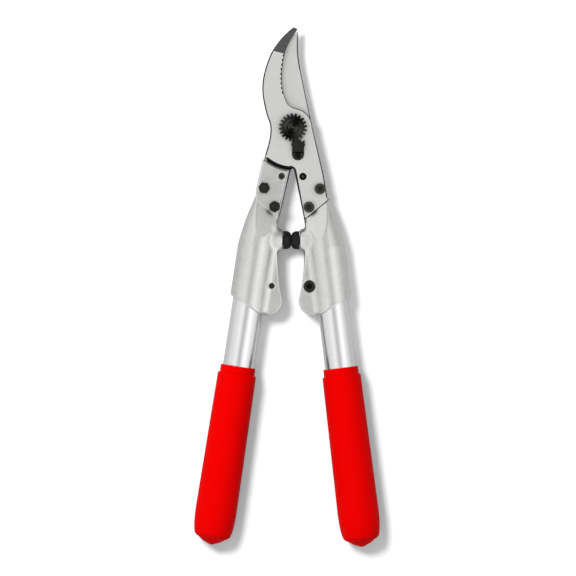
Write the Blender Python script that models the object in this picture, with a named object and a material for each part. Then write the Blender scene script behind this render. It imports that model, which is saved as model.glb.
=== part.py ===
"""A compact two-hand lopper, closed, lying on its back with the blade tips along +Y.

The origin is the middle of the pivot bolt's back face. X runs to the right and Z to the front.
Each handle half is made in a frame of its own, whose origin lies on the pivot's axis, midway
between the two blades. The right half's frame is turned half a turn about Y, so the two handle
heads are one casting used twice. In a half's frame its tongue lies at +Z and its blade at -Z.
"""

import math

import bmesh
import bpy
from mathutils import Matrix, Vector

for old in list(bpy.data.objects):
    bpy.data.objects.remove(old, do_unlink=True)

MM = 0.001

# Clearances
SEAT_GAP = 0.3 * MM
BUMPER_GAP = 0.3 * MM
HUB_CLEARANCE = 2.3 * MM
CUT_PAST = 1.0 * MM

# Handle layout: the tube's axis leaves the centre line by this much, level with the pivot
HANDLE_SPLAY = math.radians(7.83)
AXIS_OFFSET = 14.1 * MM

# Blades
CUTTING_BLADE_THICKNESS = 4.5 * MM
COUNTER_BLADE_THICKNESS = 5.0 * MM
HUB_RADIUS = 31.2 * MM
SHOULDER_RADIUS = 14.9 * MM
SHOULDER_END = 178
SHANK_OUTER_BEND = (-24.1 * MM, -35.6 * MM)
SHANK_OUTER_END = (-27.7 * MM, -55.6 * MM)
SHANK_INNER_TOP = (-1.8 * MM, -31.1 * MM)
SHANK_INNER_END = (-10.6 * MM, -70.2 * MM)
SHANK_CORNER = 3.0 * MM

# The counter-blade's hook, in the right half's frame: its back from the hub up to the tip
HOOK_BACK = (
    (21.8, -23.6),
    (18.2, -9.9),
    (17.6, 0.8),
    (21.0, 11.3),
    (24.0, 26.0),
    (23.4, 39.3),
    (18.4, 55.8),
    (11.1, 67.5),
    (3.4, 75.5),
)
HOOK_TIP = ((0.6, 77.1), (-1.4, 76.8), (-2.2, 75.8))
HOOK_MOUTH = (
    (-1.2, 74.0),
    (3.3, 66.9),
    (7.1, 57.5),
    (9.2, 43.6),
    (8.5, 29.7),
    (5.0, 19.4),
    (0.4, 15.1),
)
HOOK_SHOULDER_START = 105
TIP_FACET_LINE = ((15.05, 58.7), (7.4, 56.9))
TIP_FACET_SLOPE = 0.11
TIP_FACET_REACH = 30 * MM
GROOVE_COUNT = 9
GROOVE_PITCH = 3.5 * MM
GROOVE_RADIUS = 1.0 * MM
GROOVE_SINK = 0.2 * MM
FIRST_GROOVE = 21.0 * MM

# The cutting blade, in the left half's frame: its back from the hub up to the tip, then its edge
KNIFE_BACK = (
    (20.6, -23.4),
    (14.6, 0.5),
    (12.8, 9.9),
    (8.4, 29.2),
    (4.4, 48.4),
    (2.7, 60.0),
    (2.5, 70.5),
)
KNIFE_EDGE = (
    (1.8, 74.7),
    (-4.9, 66.2),
    (-8.8, 56.0),
    (-10.7, 43.6),
    (-10.7, 30.0),
    (-10.0, 20.0),
    (-10.6, 12.0),
)
KNIFE_SHOULDER_START = 140
KNIFE_BEVEL = 7.0 * MM
KNIFE_LAND = 0.5 * MM
HUB_STEPS = 14
SHOULDER_STEPS = 8

# Pivot bolt and its toothed nut
PIVOT_HEAD_RADIUS = 9.5 * MM
PIVOT_HEAD_HEIGHT = 4.2 * MM
PIVOT_SHANK_RADIUS = 5.0 * MM
PIVOT_THREAD_RADIUS = 4.0 * MM
PIVOT_END = 0.8 * MM
PIVOT_CHAMFER = 0.8 * MM
PIVOT_THREAD_OVERLAP = 1.0 * MM
NUT_TEETH = 20
NUT_RADIUS = 10.7 * MM
NUT_ROOT_RADIUS = 8.9 * MM
NUT_PHASE = math.radians(6.4)
NUT_TOOTH_ROOT_SHARE = 0.34
NUT_TOOTH_TIP_SHARE = 0.16
NUT_DISC = 4.0 * MM
NUT_COLLAR_RADIUS = 6.2 * MM
NUT_COLLAR = 1.4 * MM

# Locking segment, a toothed sector about its round end, and its screw. Placed from the pivot
SEGMENT_END = (4.15 * MM, -20.1 * MM)
SEGMENT_END_RADIUS = 4.7 * MM
SEGMENT_HALF_WIDTH = 4.4 * MM
SEGMENT_FLARE_HALF_WIDTH = 5.3 * MM
SEGMENT_FLARE_UP = 7.0 * MM
SEGMENT_FLARE_DROP = 2.2 * MM
SEGMENT_TIP_RADIUS = 11.3 * MM
SEGMENT_ROOT_RADIUS = 9.7 * MM
SEGMENT_TEETH = 4
SEGMENT_FIRST_TOOTH = 64.5
SEGMENT_TOOTH_PITCH = 16.5
SEGMENT_TOOTH_ROOT_SHARE = 0.32
SEGMENT_TOOTH_TIP_SHARE = 0.12
SEGMENT_THICKNESS = 3.4 * MM
SEGMENT_STEP = 1.2 * MM
SEGMENT_SCREW_BELOW_END = 1.2 * MM
SEGMENT_STEP_ABOVE_SCREW = 2.6 * MM
SEGMENT_SCREW_HEAD = 2.1 * MM
SEGMENT_SCREW_RADIUS = 1.5 * MM
SEGMENT_SCREW_HEIGHT = 1.1 * MM
SEGMENT_SOCKET = 2.0 * MM
SEGMENT_SOCKET_DEPTH = 0.5 * MM

# Bolts, nuts and pins of the blades, in a half's frame
BLADE_BOLTS = {"upper": (-21.55 * MM, -47.0 * MM), "lower": (-13.25 * MM, -61.3 * MM)}
BOLT_RADIUS = 2.5 * MM
BOLT_HEAD_RADIUS = 4.25 * MM
BOLT_HEAD_HEIGHT = 3.5 * MM
BOLT_HEAD_CHAMFER = 0.4 * MM
BOLT_END_CHAMFER = 0.5 * MM
SOCKET_ACROSS_FLATS = 4.0 * MM
SOCKET_DEPTH = 2.0 * MM
SOCKET_FLOOR = 0.8 * MM
HEX_ACROSS_FLATS = 8.0 * MM
HEX_HEIGHT = 4.0 * MM
PIN_PLACE = (-8.23 * MM, -37.7 * MM)
PIN_RADIUS = 2.2 * MM
PIN_RECESS = 0.5 * MM

# Handle head
TONGUE_THICKNESS = 5.0 * MM
TONGUE_STOCK = 1.0 * MM
TONGUE_OUTER_TOP = (-22.7 * MM, -23.6 * MM)
TONGUE_OUTER_END = (-28.1 * MM, -50.0 * MM)
NECK_ROOT = (-18.55 * MM, -57.0 * MM)
NECK_ROOT_HALF_WIDTH = 11.25 * MM
NECK_ROOT_HALF_HEIGHT = 8.5 * MM
NECK_START = (-17.2 * MM, -49.0 * MM)
NECK_START_HALF_WIDTH = 9.6 * MM
NECK_START_HALF_HEIGHT = 4.6 * MM
NECK_BULGE = 0.3
NECK_LENGTH = 93.0 * MM
RAMP_LENGTH = 21.9 * MM
RAMP_PAST = 1.4
SLEEVE_WALL = 2.2 * MM
SLEEVE_LENGTH = 139.3 * MM
MOUTH_SLANT = math.radians(23.8)
EAR_FRONT = 6.5 * MM
EAR_BACK = 7.5 * MM
EAR_BEVEL = 1.2 * MM
EAR_EDGE = ((72.3, -1.0), (90.6, 1.9), (102.5, 3.7), (110.1, 5.0), (122.1, 8.1))
EAR_FILLETS = ((74.0, 4.0), (90.0, 5.0), (100.0, 7.0), (110.0, 9.0))
EAR_FILLET_STEPS = 5
EAR_FILLET_SINK = 0.1 * MM
EAR_FILLET_INSET = 0.6 * MM
LOBE_ALONG = 133.2 * MM
LOBE_BEYOND_SLEEVE = 0.4 * MM
LOBE_RADIUS = 11.1 * MM
LOBE_ARC = (18, -96)
SLIT_PAST_TUBE_START = 3.0 * MM
SLIT_WIDTH = 1.6 * MM
CLAMP_BOLT_ALONG = 121.4 * MM
CLAMP_BOLT_MARGIN = 1.74 * MM
CLAMP_BOLT_RADIUS = 2.0 * MM
CLAMP_HEAD_HEIGHT = 3.0 * MM
CLAMP_SEAT = 4.6 * MM

# Bumpers and their bosses
BUMPER_Y = -87.0 * MM
BUMPER_RADIUS = 7.1 * MM
BUMPER_LENGTH = 6.1 * MM
BUMPER_STRAIGHT = 2.0 * MM
BUMPER_FLAT_RADIUS = 3.2 * MM
BUMPER_STEM_RADIUS = 3.5 * MM
BUMPER_STEM_LENGTH = 5.0 * MM
BOSS_RADIUS = 8.85 * MM
BOSS_CHAMFER = 0.9 * MM
BOSS_DEPTH = 9.0 * MM

# Tubes and grips, measured along the tube's axis from the pivot's level
TUBE_RADIUS = 12.0 * MM
TUBE_WALL = 1.6 * MM
TUBE_PAST_NECK = 4.0 * MM
GRIP_START = 186.8 * MM
GRIP_LENGTH = 139.4 * MM
GRIP_END_WALL = 6.0 * MM
COLLAR_WALL = 1.5 * MM
COLLAR_LENGTH = 6.0 * MM
GRIP_MOUTH_WALL = 2.9 * MM
GRIP_MOUTH_EASE = (1.0 * MM, 0.8 * MM)
GRIP_BELLY_WALL = 4.0 * MM
GRIP_BELLY_ALONG = 112.0 * MM
GRIP_CONE_RADIUS = 12.8 * MM
GRIP_CONE_HEIGHT = 6.6 * MM
GRIP_TIP_RADIUS = 3.0 * MM
GRIP_TIP_HEIGHT = 0.4 * MM

NECK_SECTIONS = 6
ROUND_STEPS = 40
SMALL_ROUND_STEPS = 20
GRIP_STEPS = 32
BUMPER_STEPS = 24

# Places worked out from the sizes above
BLADE_FACE = SEAT_GAP / 2
SHOULDER_LEVEL = BLADE_FACE + TONGUE_THICKNESS
SLEEVE_BORE = TUBE_RADIUS + SEAT_GAP
SLEEVE_RADIUS = SLEEVE_BORE + SLEEVE_WALL
TUBE_START = NECK_LENGTH + TUBE_PAST_NECK
SLIT_START = TUBE_START + SLIT_PAST_TUBE_START
TUBE_END = GRIP_START + GRIP_LENGTH - GRIP_END_WALL
INTERFACE_Z = PIVOT_HEAD_HEIGHT + SEAT_GAP + CUTTING_BLADE_THICKNESS + BLADE_FACE
COUNTER_FRONT_Z = INTERFACE_Z + BLADE_FACE + COUNTER_BLADE_THICKNESS
CLAMP_POCKET_RADIUS = BOLT_HEAD_RADIUS + SEAT_GAP
CLAMP_BOLT_ACROSS = SLEEVE_BORE + CLAMP_BOLT_RADIUS + CLAMP_BOLT_MARGIN + SEAT_GAP
BOSS_FACE_X = -(BUMPER_GAP / 2 + BUMPER_LENGTH + SEAT_GAP)
SEGMENT_SCREW = (SEGMENT_END[0], SEGMENT_END[1] - SEGMENT_SCREW_BELOW_END)
BOLT_CLEARANCE_RADIUS = BOLT_RADIUS + SEAT_GAP
PIN_HOLE_RADIUS = PIN_RADIUS + SEAT_GAP


def make_material(name, colour, roughness, metallic):
    material = bpy.data.materials.new(name)
    material.use_nodes = True
    shader = material.node_tree.nodes["Principled BSDF"]
    shader.inputs["Base Color"].default_value = (*colour, 1)
    shader.inputs["Roughness"].default_value = roughness
    shader.inputs["Metallic"].default_value = metallic
    return material


def place(name, bm, material, parent=None, location=(0, 0, 0), rotation=None):
    """Makes a smooth-shaded object of a bmesh, with its location and rotation under its parent."""
    bmesh.ops.remove_doubles(bm, verts=bm.verts, dist=1e-7)
    bmesh.ops.recalc_face_normals(bm, faces=bm.faces)
    mesh = bpy.data.meshes.new(name)
    bm.to_mesh(mesh)
    bm.free()
    mesh.shade_smooth()
    mesh.set_sharp_from_angle(angle=math.radians(30))
    made = bpy.data.objects.new(name, mesh)
    bpy.context.scene.collection.objects.link(made)
    made.parent = parent
    made.location = location
    if rotation is not None:
        made.rotation_euler = rotation.to_euler()
    if material is not None:
        mesh.materials.append(material)
    return made


def combine(target, tool, operation):
    """Adds a Boolean to the target and keeps its tool as a hidden helper."""
    tool.hide_render = True
    tool.display_type = "WIRE"
    modifier = target.modifiers.new(tool.name, "BOOLEAN")
    modifier.operation = operation
    modifier.solver = "EXACT"
    modifier.object = tool


def loft(rings):
    """A closed solid through rings of equally many corners."""
    bm = bmesh.new()
    rows = [[bm.verts.new(corner) for corner in ring] for ring in rings]
    for near, far in zip(rows, rows[1:]):
        for i, corner in enumerate(near):
            bm.faces.new((near[i - 1], corner, far[i], far[i - 1]))
    bm.faces.new(rows[0])
    bm.faces.new(rows[-1])
    return bm


def prism(outline, low, high):
    """An outline in the XY plane, made solid between two heights."""
    return loft([[(x, y, z) for x, y in outline] for z in (low, high)])


def cylinder(centre, radius, low, high, steps=SMALL_ROUND_STEPS):
    return prism(arc(centre, radius, 0, 360 - 360 / steps, steps - 1), low, high)


def turned(profile, steps=ROUND_STEPS):
    """A profile of (radius, height) points spun about Z, closed where it meets the axis."""
    bm = bmesh.new()
    row = [bm.verts.new((radius, 0, height)) for radius, height in profile]
    edges = [bm.edges.new(pair) for pair in zip(row, row[1:])]
    if profile[0][0] > 0:
        edges.append(bm.edges.new((row[-1], row[0])))
    bmesh.ops.spin(
        bm, geom=row + edges, axis=(0, 0, 1), cent=(0, 0, 0), angle=math.tau, steps=steps, use_merge=True
    )
    return bm


def arc(centre, radius, start, end, steps):
    """Points on an arc, with its angles in degrees."""
    angles = [math.radians(start + (end - start) * i / steps) for i in range(steps + 1)]
    return [(centre[0] + radius * math.cos(a), centre[1] + radius * math.sin(a)) for a in angles]


def smooth(points, steps=4):
    """A Catmull-Rom curve through the points, without its last one."""
    ends = [points[0], *points, points[-1]]
    path = []
    for before, near, far, after in zip(ends, ends[1:], ends[2:], ends[3:]):
        for i in range(steps):
            t = i / steps
            path.append(
                tuple(
                    0.5
                    * (
                        2 * b
                        + (c - a) * t
                        + (2 * a - 5 * b + 4 * c - d) * t**2
                        + (3 * b - a - 3 * c + d) * t**3
                    )
                    for a, b, c, d in zip(before, near, far, after)
                )
            )
    return path


def in_mm(points):
    return [(x * MM, y * MM) for x, y in points]


def rounded(before, corner, after, cut, steps=4):
    """The corner's points when it is eased off over the given length on both sides."""
    corner = Vector(corner)
    start = corner + (Vector(before) - corner).normalized() * cut
    end = corner + (Vector(after) - corner).normalized() * cut
    path = []
    for i in range(steps + 1):
        t = i / steps
        path.append(tuple(start * (1 - t) ** 2 + corner * 2 * t * (1 - t) + end * t**2))
    return path


def degrees_of(point):
    return math.degrees(math.atan2(point[1], point[0]))


def shank(shoulder_start, back_foot):
    """The part of the outline that both blades share, from the shoulder down and round the hub."""
    hub_start = degrees_of(SHANK_INNER_TOP) + math.degrees(SHANK_CORNER / HUB_RADIUS)
    on_hub = arc((0, 0), HUB_RADIUS, hub_start, degrees_of(back_foot), HUB_STEPS)
    corner = rounded(SHANK_INNER_END, SHANK_INNER_TOP, on_hub[0], SHANK_CORNER)
    return [
        *arc((0, 0), SHOULDER_RADIUS, shoulder_start, SHOULDER_END, SHOULDER_STEPS),
        SHANK_OUTER_BEND,
        SHANK_OUTER_END,
        SHANK_INNER_END,
        *corner[:-1],
        *on_hub[:-1],
    ]


def on_axis(along, across):
    """A point of a half's XY plane, given along its tube's axis and across it towards the middle."""
    sine, cosine = math.sin(HANDLE_SPLAY), math.cos(HANDLE_SPLAY)
    return (
        -AXIS_OFFSET - sine * along + cosine * across,
        -cosine * along - sine * across,
    )


def facet_cutter(line, section, reach):
    """A prism whose (distance, height) section stands square to a line and runs along it."""
    start, end = Vector(line[0]).to_3d(), Vector(line[1]).to_3d()
    run = (end - start).normalized()
    away = Vector((run.y, -run.x, 0))
    middle = (start + end) / 2
    rings = []
    for side in (-reach, reach):
        rings.append([middle + run * side + away * d + Vector((0, 0, h)) for d, h in section])
    return loft(rings)


steel = make_material("satin_steel", (0.6, 0.6, 0.59), 0.38, 0.9)
black_steel = make_material("blackened_steel", (0.02, 0.022, 0.02), 0.45, 0.6)
cast_aluminium = make_material("blasted_aluminium", (0.62, 0.62, 0.6), 0.45, 0.85)
tube_aluminium = make_material("anodised_aluminium", (0.8, 0.8, 0.8), 0.28, 0.9)
black_rubber = make_material("black_rubber", (0.01, 0.01, 0.01), 0.6, 0.0)
red_grip = make_material("red_grip", (0.9, 0.0, 0.0), 0.5, 0.0)


def half_frame(side):
    """An empty on the pivot's axis. The moving left half turns about it."""
    frame = bpy.data.objects.new(side + "_half", None)
    bpy.context.scene.collection.objects.link(frame)
    frame.location = (0, 0, INTERFACE_Z)
    frame.rotation_euler = (0, math.pi if side == "right" else 0, 0)
    return frame


def tube_turn():
    """Turns an object's Z along the tube's axis and its X across it, towards the middle."""
    sine, cosine = math.sin(HANDLE_SPLAY), math.cos(HANDLE_SPLAY)
    return Matrix(((cosine, 0, -sine), (-sine, 0, -cosine), (0, 1, 0)))


def knife_outline():
    back = smooth(in_mm(KNIFE_BACK))
    edge = smooth(in_mm(KNIFE_EDGE))
    outline = [*back, in_mm(KNIFE_BACK)[-1], *edge, *shank(KNIFE_SHOULDER_START, back[0])]
    return outline, len(back) + 1, len(edge)


def make_cutting_blade(half):
    """Flat on the face that meets the counter-blade, and ground to an edge on its back."""
    outline, first, count = knife_outline()
    ground = list(outline)
    for i in range(1, count):
        at, before, after = (Vector(outline[first + i + k]) for k in (0, -1, 1))
        run = (after - before).normalized()
        width = KNIFE_BEVEL * math.sqrt(math.sin(math.pi * i / count))
        ground[first + i] = tuple(at + Vector((-run.y, run.x)) * width)
    flat = -BLADE_FACE
    levels = ((outline, flat), (outline, flat - KNIFE_LAND), (ground, flat - CUTTING_BLADE_THICKNESS))
    blade = place(
        "cutting_blade", loft([[(x, y, z) for x, y in ring] for ring, z in levels]), steel, half
    )
    drill_blade(blade, half, CUTTING_BLADE_THICKNESS)
    return blade


def drill_blade(blade, half, thickness):
    """Bores a blade for the pivot bolt, its two bolts and its locating pin."""
    low, high = -BLADE_FACE - 2 * thickness, thickness
    pivot_hole = cylinder((0, 0), PIVOT_SHANK_RADIUS + SEAT_GAP, low, high, ROUND_STEPS)
    combine(blade, place(blade.name + "_pivot_hole", pivot_hole, None, half), "DIFFERENCE")
    for where, centre in BLADE_BOLTS.items():
        hole = cylinder(centre, BOLT_CLEARANCE_RADIUS, low, high)
        combine(blade, place(blade.name + "_hole_" + where, hole, None, half), "DIFFERENCE")
    hole = cylinder(PIN_PLACE, PIN_HOLE_RADIUS, low, high)
    combine(blade, place(blade.name + "_pin_hole", hole, None, half), "DIFFERENCE")


def hook_outline():
    back = smooth(in_mm(HOOK_BACK))
    mouth = smooth(in_mm(HOOK_MOUTH))
    tip = [in_mm(HOOK_BACK)[-1], *in_mm(HOOK_TIP)]
    return [*back, *tip, *mouth, *shank(HOOK_SHOULDER_START, back[0])], mouth


def make_counter_blade(half):
    """The hook: sap grooves across its mouth, a facet ground on its tip, a hole for the segment's screw."""
    outline, mouth = hook_outline()
    front = -BLADE_FACE - COUNTER_BLADE_THICKNESS
    blade = place("counter_blade", prism(outline, front, -BLADE_FACE), steel, half)
    drill_blade(blade, half, COUNTER_BLADE_THICKNESS)
    screw_hole = cylinder(
        (-SEGMENT_SCREW[0], SEGMENT_SCREW[1]),
        SEGMENT_SCREW_RADIUS + SEAT_GAP,
        2 * front,
        COUNTER_BLADE_THICKNESS,
    )
    combine(blade, place("segment_screw_hole", screw_hole, None, half), "DIFFERENCE")
    section = (
        (0, front),
        (TIP_FACET_REACH, front + TIP_FACET_REACH * TIP_FACET_SLOPE),
        (TIP_FACET_REACH, 2 * front),
        (0, 2 * front),
    )
    facet = facet_cutter(in_mm(reversed(TIP_FACET_LINE)), section, TIP_FACET_REACH)
    combine(blade, place("tip_facet", facet, None, half), "DIFFERENCE")
    for i, (at, inward) in enumerate(groove_places(mouth)):
        centre = at + inward * GROOVE_SINK
        groove = cylinder(centre, GROOVE_RADIUS, 2 * front, COUNTER_BLADE_THICKNESS, 10)
        combine(blade, place(f"sap_groove_{i + 1}", groove, None, half), "DIFFERENCE")
    return blade


def groove_places(mouth):
    """Where the sap grooves cross the mouth's edge, and the direction out of the metal there."""
    wanted = [FIRST_GROOVE + i * GROOVE_PITCH for i in range(GROOVE_COUNT)]
    travelled = 0
    for start, end in zip(mouth, mouth[1:]):
        start, end = Vector(start), Vector(end)
        length = (end - start).length
        run = (end - start) / length
        while wanted and wanted[0] <= travelled + length:
            yield start + run * (wanted.pop(0) - travelled), Vector((run.y, -run.x))
        travelled += length


def head_rings():
    """Sections of the head's neck and sleeve, from inside the tongue to past the mouth."""
    rings = [
        section_ring(NECK_START, NECK_START_HALF_WIDTH, NECK_START_HALF_HEIGHT, 0),
    ]
    neck_end = on_axis(NECK_LENGTH, 0)
    for i in range(NECK_SECTIONS + 1):
        s = i / NECK_SECTIONS
        eased = s * (1 + NECK_BULGE * (1 - s))
        width = NECK_ROOT_HALF_WIDTH + (SLEEVE_RADIUS - NECK_ROOT_HALF_WIDTH) * eased
        height = NECK_ROOT_HALF_HEIGHT + (SLEEVE_RADIUS - NECK_ROOT_HALF_HEIGHT) * eased
        centre = (
            NECK_ROOT[0] + (neck_end[0] - NECK_ROOT[0]) * eased,
            NECK_ROOT[1] + (neck_end[1] - NECK_ROOT[1]) * s,
        )
        rings.append(section_ring(centre, width, height, s * HANDLE_SPLAY))
    past_mouth = SLEEVE_LENGTH + SLEEVE_RADIUS
    rings.append(section_ring(on_axis(past_mouth, 0), SLEEVE_RADIUS, SLEEVE_RADIUS, HANDLE_SPLAY))
    return rings


def section_ring(centre, half_width, half_height, tilt):
    """An ellipse of corners, turned by half a step so that no corner lies on the blades' plane."""
    ring = []
    for i in range(ROUND_STEPS):
        angle = math.tau * (i + 0.5) / ROUND_STEPS
        across = half_width * math.cos(angle)
        ring.append(
            (
                centre[0] + across * math.cos(tilt),
                centre[1] - across * math.sin(tilt),
                half_height * math.sin(angle),
            )
        )
    return ring


def ear_outline(inset=0):
    """The clamp ear: its free edge, then the round lobe, then back inside the sleeve."""
    edge = [on_axis(along * MM, SLEEVE_RADIUS + beyond * MM - inset) for along, beyond in EAR_EDGE]
    centre = on_axis(LOBE_ALONG, SLEEVE_RADIUS + LOBE_BEYOND_SLEEVE)
    lobe = arc(centre, LOBE_RADIUS - inset, *LOBE_ARC, 12)
    inside = [on_axis(LOBE_ALONG, 0), on_axis(EAR_EDGE[0][0] * MM, 0)]
    return [*smooth(edge, 3), edge[-1], *lobe, *inside]


def make_ear():
    bm = prism(ear_outline(), -EAR_BACK, EAR_FRONT)
    rims = [edge for edge in bm.edges if abs(edge.verts[0].co.z - edge.verts[1].co.z) < EAR_BEVEL]
    bmesh.ops.bevel(
        bm, geom=rims, offset=EAR_BEVEL, affect="EDGES", segments=2, profile=0.5, material=-1
    )
    return bm


def fillet_arc(radius, level):
    """The hollow from the ear's face up to the sleeve, as (across, height) points."""
    height = level + radius - EAR_FILLET_SINK
    across = math.sqrt((SLEEVE_RADIUS + radius) ** 2 - height**2)
    meets = math.degrees(math.atan2(height, across))
    return arc((across, height), radius, 270, 180 + meets, EAR_FILLET_STEPS)


def make_ear_fillet():
    """The hollows on both faces between the sleeve and the ear, wider towards the sleeve's mouth."""
    rings = []
    for along, radius in (*EAR_FILLETS, (SLEEVE_LENGTH / MM + LOBE_RADIUS / MM, EAR_FILLETS[-1][1])):
        front = fillet_arc(radius * MM, EAR_FRONT)
        back = fillet_arc(radius * MM, EAR_BACK)
        section = [(front[0][0], front[0][1] - CUT_PAST), *front, (SLEEVE_BORE / 2, front[-1][1] - CUT_PAST)]
        section += [(SLEEVE_BORE / 2, CUT_PAST - back[-1][1])]
        section += [(across, -height) for across, height in reversed(back)]
        section += [(back[0][0], CUT_PAST - back[0][1])]
        rings.append([(*on_axis(along * MM, across), height) for across, height in section])
    return loft(rings)


def make_boss():
    return turned(
        (
            (0, 0),
            (BOSS_RADIUS - BOSS_CHAMFER, 0),
            (BOSS_RADIUS, BOSS_CHAMFER),
            (BOSS_RADIUS, BOSS_DEPTH),
            (0, BOSS_DEPTH),
        )
    )


def shoulder_line():
    """The line on which the head steps up in front of its blade's end."""
    outer, inner = Vector(SHANK_OUTER_END), Vector(SHANK_INNER_END)
    run = (inner - outer).normalized()
    away = Vector((run.y, -run.x)) * SEAT_GAP
    return outer + away, inner + away


def tongue_outline():
    outer, inner = shoulder_line()
    run = (inner - outer).normalized()
    below = Vector((run.y, -run.x)) * SEAT_GAP
    top = Vector(SHANK_INNER_TOP) + Vector((0, SHANK_CORNER))
    return [tuple(top), TONGUE_OUTER_TOP, TONGUE_OUTER_END, tuple(outer + below), tuple(inner + below)]


def make_head(side, half):
    """The forged head: tongue, neck, sleeve, clamp ear and boss as one body, then its cuts."""
    name = side + "_handle_head"
    proud = SHOULDER_LEVEL + TONGUE_STOCK
    head = place(name, loft(head_rings()), cast_aluminium, half)
    facing = Matrix.Rotation(-math.pi / 2, 3, "Y")
    tongue = place(name + "_tongue", prism(tongue_outline(), -proud, proud), None, half)
    ear = place(name + "_ear", make_ear(), None, half)
    boss = place(name + "_boss", make_boss(), None, half, (BOSS_FACE_X, BUMPER_Y, 0), facing)
    fillet = place(name + "_ear_fillet", make_ear_fillet(), None, half)
    ear_reach = prism(ear_outline(EAR_FILLET_INSET), -2 * SLEEVE_RADIUS, 2 * SLEEVE_RADIUS)
    combine(fillet, place(name + "_ear_reach", ear_reach, None, half), "INTERSECT")
    for added in (tongue, ear, fillet, boss):
        combine(head, added, "UNION")
    past_mouth = SLEEVE_LENGTH + 2 * SLEEVE_RADIUS
    bore = cylinder((0, 0), SLEEVE_BORE, TUBE_START - SEAT_GAP, past_mouth, ROUND_STEPS)
    bore = place(name + "_bore", bore, None, half, (-AXIS_OFFSET, 0, 0), tube_turn())
    combine(head, bore, "DIFFERENCE")
    for cut_name, cut in head_cuts().items():
        combine(head, place(f"{name}_{cut_name}", cut, None, half), "DIFFERENCE")
    stem_depth = BUMPER_STEM_LENGTH + 2 * SEAT_GAP
    stem_hole = cylinder((0, 0), BUMPER_STEM_RADIUS + SEAT_GAP, -BOSS_DEPTH, stem_depth)
    stem_hole = place(name + "_stem_hole", stem_hole, None, half, (BOSS_FACE_X, BUMPER_Y, 0), facing)
    combine(head, stem_hole, "DIFFERENCE")
    return head


def head_cuts():
    """The head's cuts whose walls stand square to the blades, and its two inclined facets."""
    line = shoulder_line()
    far = 4 * SLEEVE_RADIUS
    rise = SLEEVE_RADIUS - SHOULDER_LEVEL
    above = (
        (-far, SHOULDER_LEVEL),
        (0, SHOULDER_LEVEL),
        (RAMP_PAST * RAMP_LENGTH, SHOULDER_LEVEL + RAMP_PAST * rise),
        (RAMP_PAST * RAMP_LENGTH, far),
        (-far, far),
    )
    below = [(distance, -height) for distance, height in above]
    seat = ((-far, -far), (0, -far), (0, BLADE_FACE), (-far, BLADE_FACE))
    slant = HANDLE_SPLAY + MOUTH_SLANT
    mouth, along = Vector(on_axis(SLEEVE_LENGTH, 0)), Vector((math.cos(slant), -math.sin(slant)))
    cuts = {
        "front_facet": facet_cutter(line, above, far),
        "back_facet": facet_cutter(line, below, far),
        "blade_seat": facet_cutter(line, seat, far),
        "hub_clearance": cylinder((0, 0), HUB_RADIUS + HUB_CLEARANCE, -far, far, 2 * ROUND_STEPS),
        "mouth": facet_cutter(
            (mouth - along * MM, mouth + along * MM),
            ((0, -far), (far, -far), (far, far), (0, far)),
            far,
        ),
        "slit": prism(
            [
                on_axis(SLIT_START, SLEEVE_BORE / 2),
                on_axis(SLEEVE_LENGTH + far, SLEEVE_BORE / 2),
                on_axis(SLEEVE_LENGTH + far, far),
                on_axis(SLIT_START, far),
            ],
            -SLIT_WIDTH / 2,
            SLIT_WIDTH / 2,
        ),
        "clamp_hole": cylinder(
            on_axis(CLAMP_BOLT_ALONG, CLAMP_BOLT_ACROSS), CLAMP_BOLT_RADIUS + SEAT_GAP, -far, far
        ),
        "clamp_pocket": cylinder(
            on_axis(CLAMP_BOLT_ALONG, CLAMP_BOLT_ACROSS), CLAMP_POCKET_RADIUS, -far, -CLAMP_SEAT, 32
        ),
        "pin_hole": cylinder(PIN_PLACE, PIN_HOLE_RADIUS, -far, far),
    }
    for where, centre in BLADE_BOLTS.items():
        cuts["hole_" + where] = cylinder(centre, BOLT_CLEARANCE_RADIUS, -far, far)
    return cuts


def make_bolt(name, half, place_xy, seat, length, head_height, radius=BOLT_RADIUS):
    """A socket-head bolt whose head bears on the seat, with its end towards +Z."""
    bm = turned(
        (
            (0, -head_height),
            (BOLT_HEAD_RADIUS - BOLT_HEAD_CHAMFER, -head_height),
            (BOLT_HEAD_RADIUS, BOLT_HEAD_CHAMFER - head_height),
            (BOLT_HEAD_RADIUS, 0),
            (radius, 0),
            (radius, length - BOLT_END_CHAMFER),
            (radius - BOLT_END_CHAMFER, length),
            (0, length),
        ),
        SMALL_ROUND_STEPS,
    )
    location = (place_xy[0], place_xy[1], seat)
    bolt = place(name, bm, black_steel, half, location)
    depth = min(SOCKET_DEPTH, head_height - SOCKET_FLOOR)
    socket = hexagon(SOCKET_ACROSS_FLATS, -2 * head_height, depth - head_height)
    combine(bolt, place(name + "_socket", socket, None, half, location), "DIFFERENCE")
    return bolt


def hexagon(across_flats, low, high):
    return cylinder((0, 0), across_flats / math.sqrt(3), low, high, 6)


def make_nut(name, half, place_xy):
    """A hexagon nut on the tongue's face."""
    location = (place_xy[0], place_xy[1], SHOULDER_LEVEL + SEAT_GAP)
    nut = place(name, hexagon(HEX_ACROSS_FLATS, 0, HEX_HEIGHT), black_steel, half, location)
    bore = cylinder((0, 0), BOLT_CLEARANCE_RADIUS, -HEX_HEIGHT, 2 * HEX_HEIGHT)
    combine(nut, place(name + "_bore", bore, None, half, location), "DIFFERENCE")
    return nut


def make_pin(name, half, blade_thickness):
    """A locating pin through the blade and the tongue, its ends just below their faces."""
    low = -BLADE_FACE - blade_thickness + PIN_RECESS
    high = SHOULDER_LEVEL - PIN_RECESS
    return place(name, cylinder(PIN_PLACE, PIN_RADIUS, low, high), black_steel, half)


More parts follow.
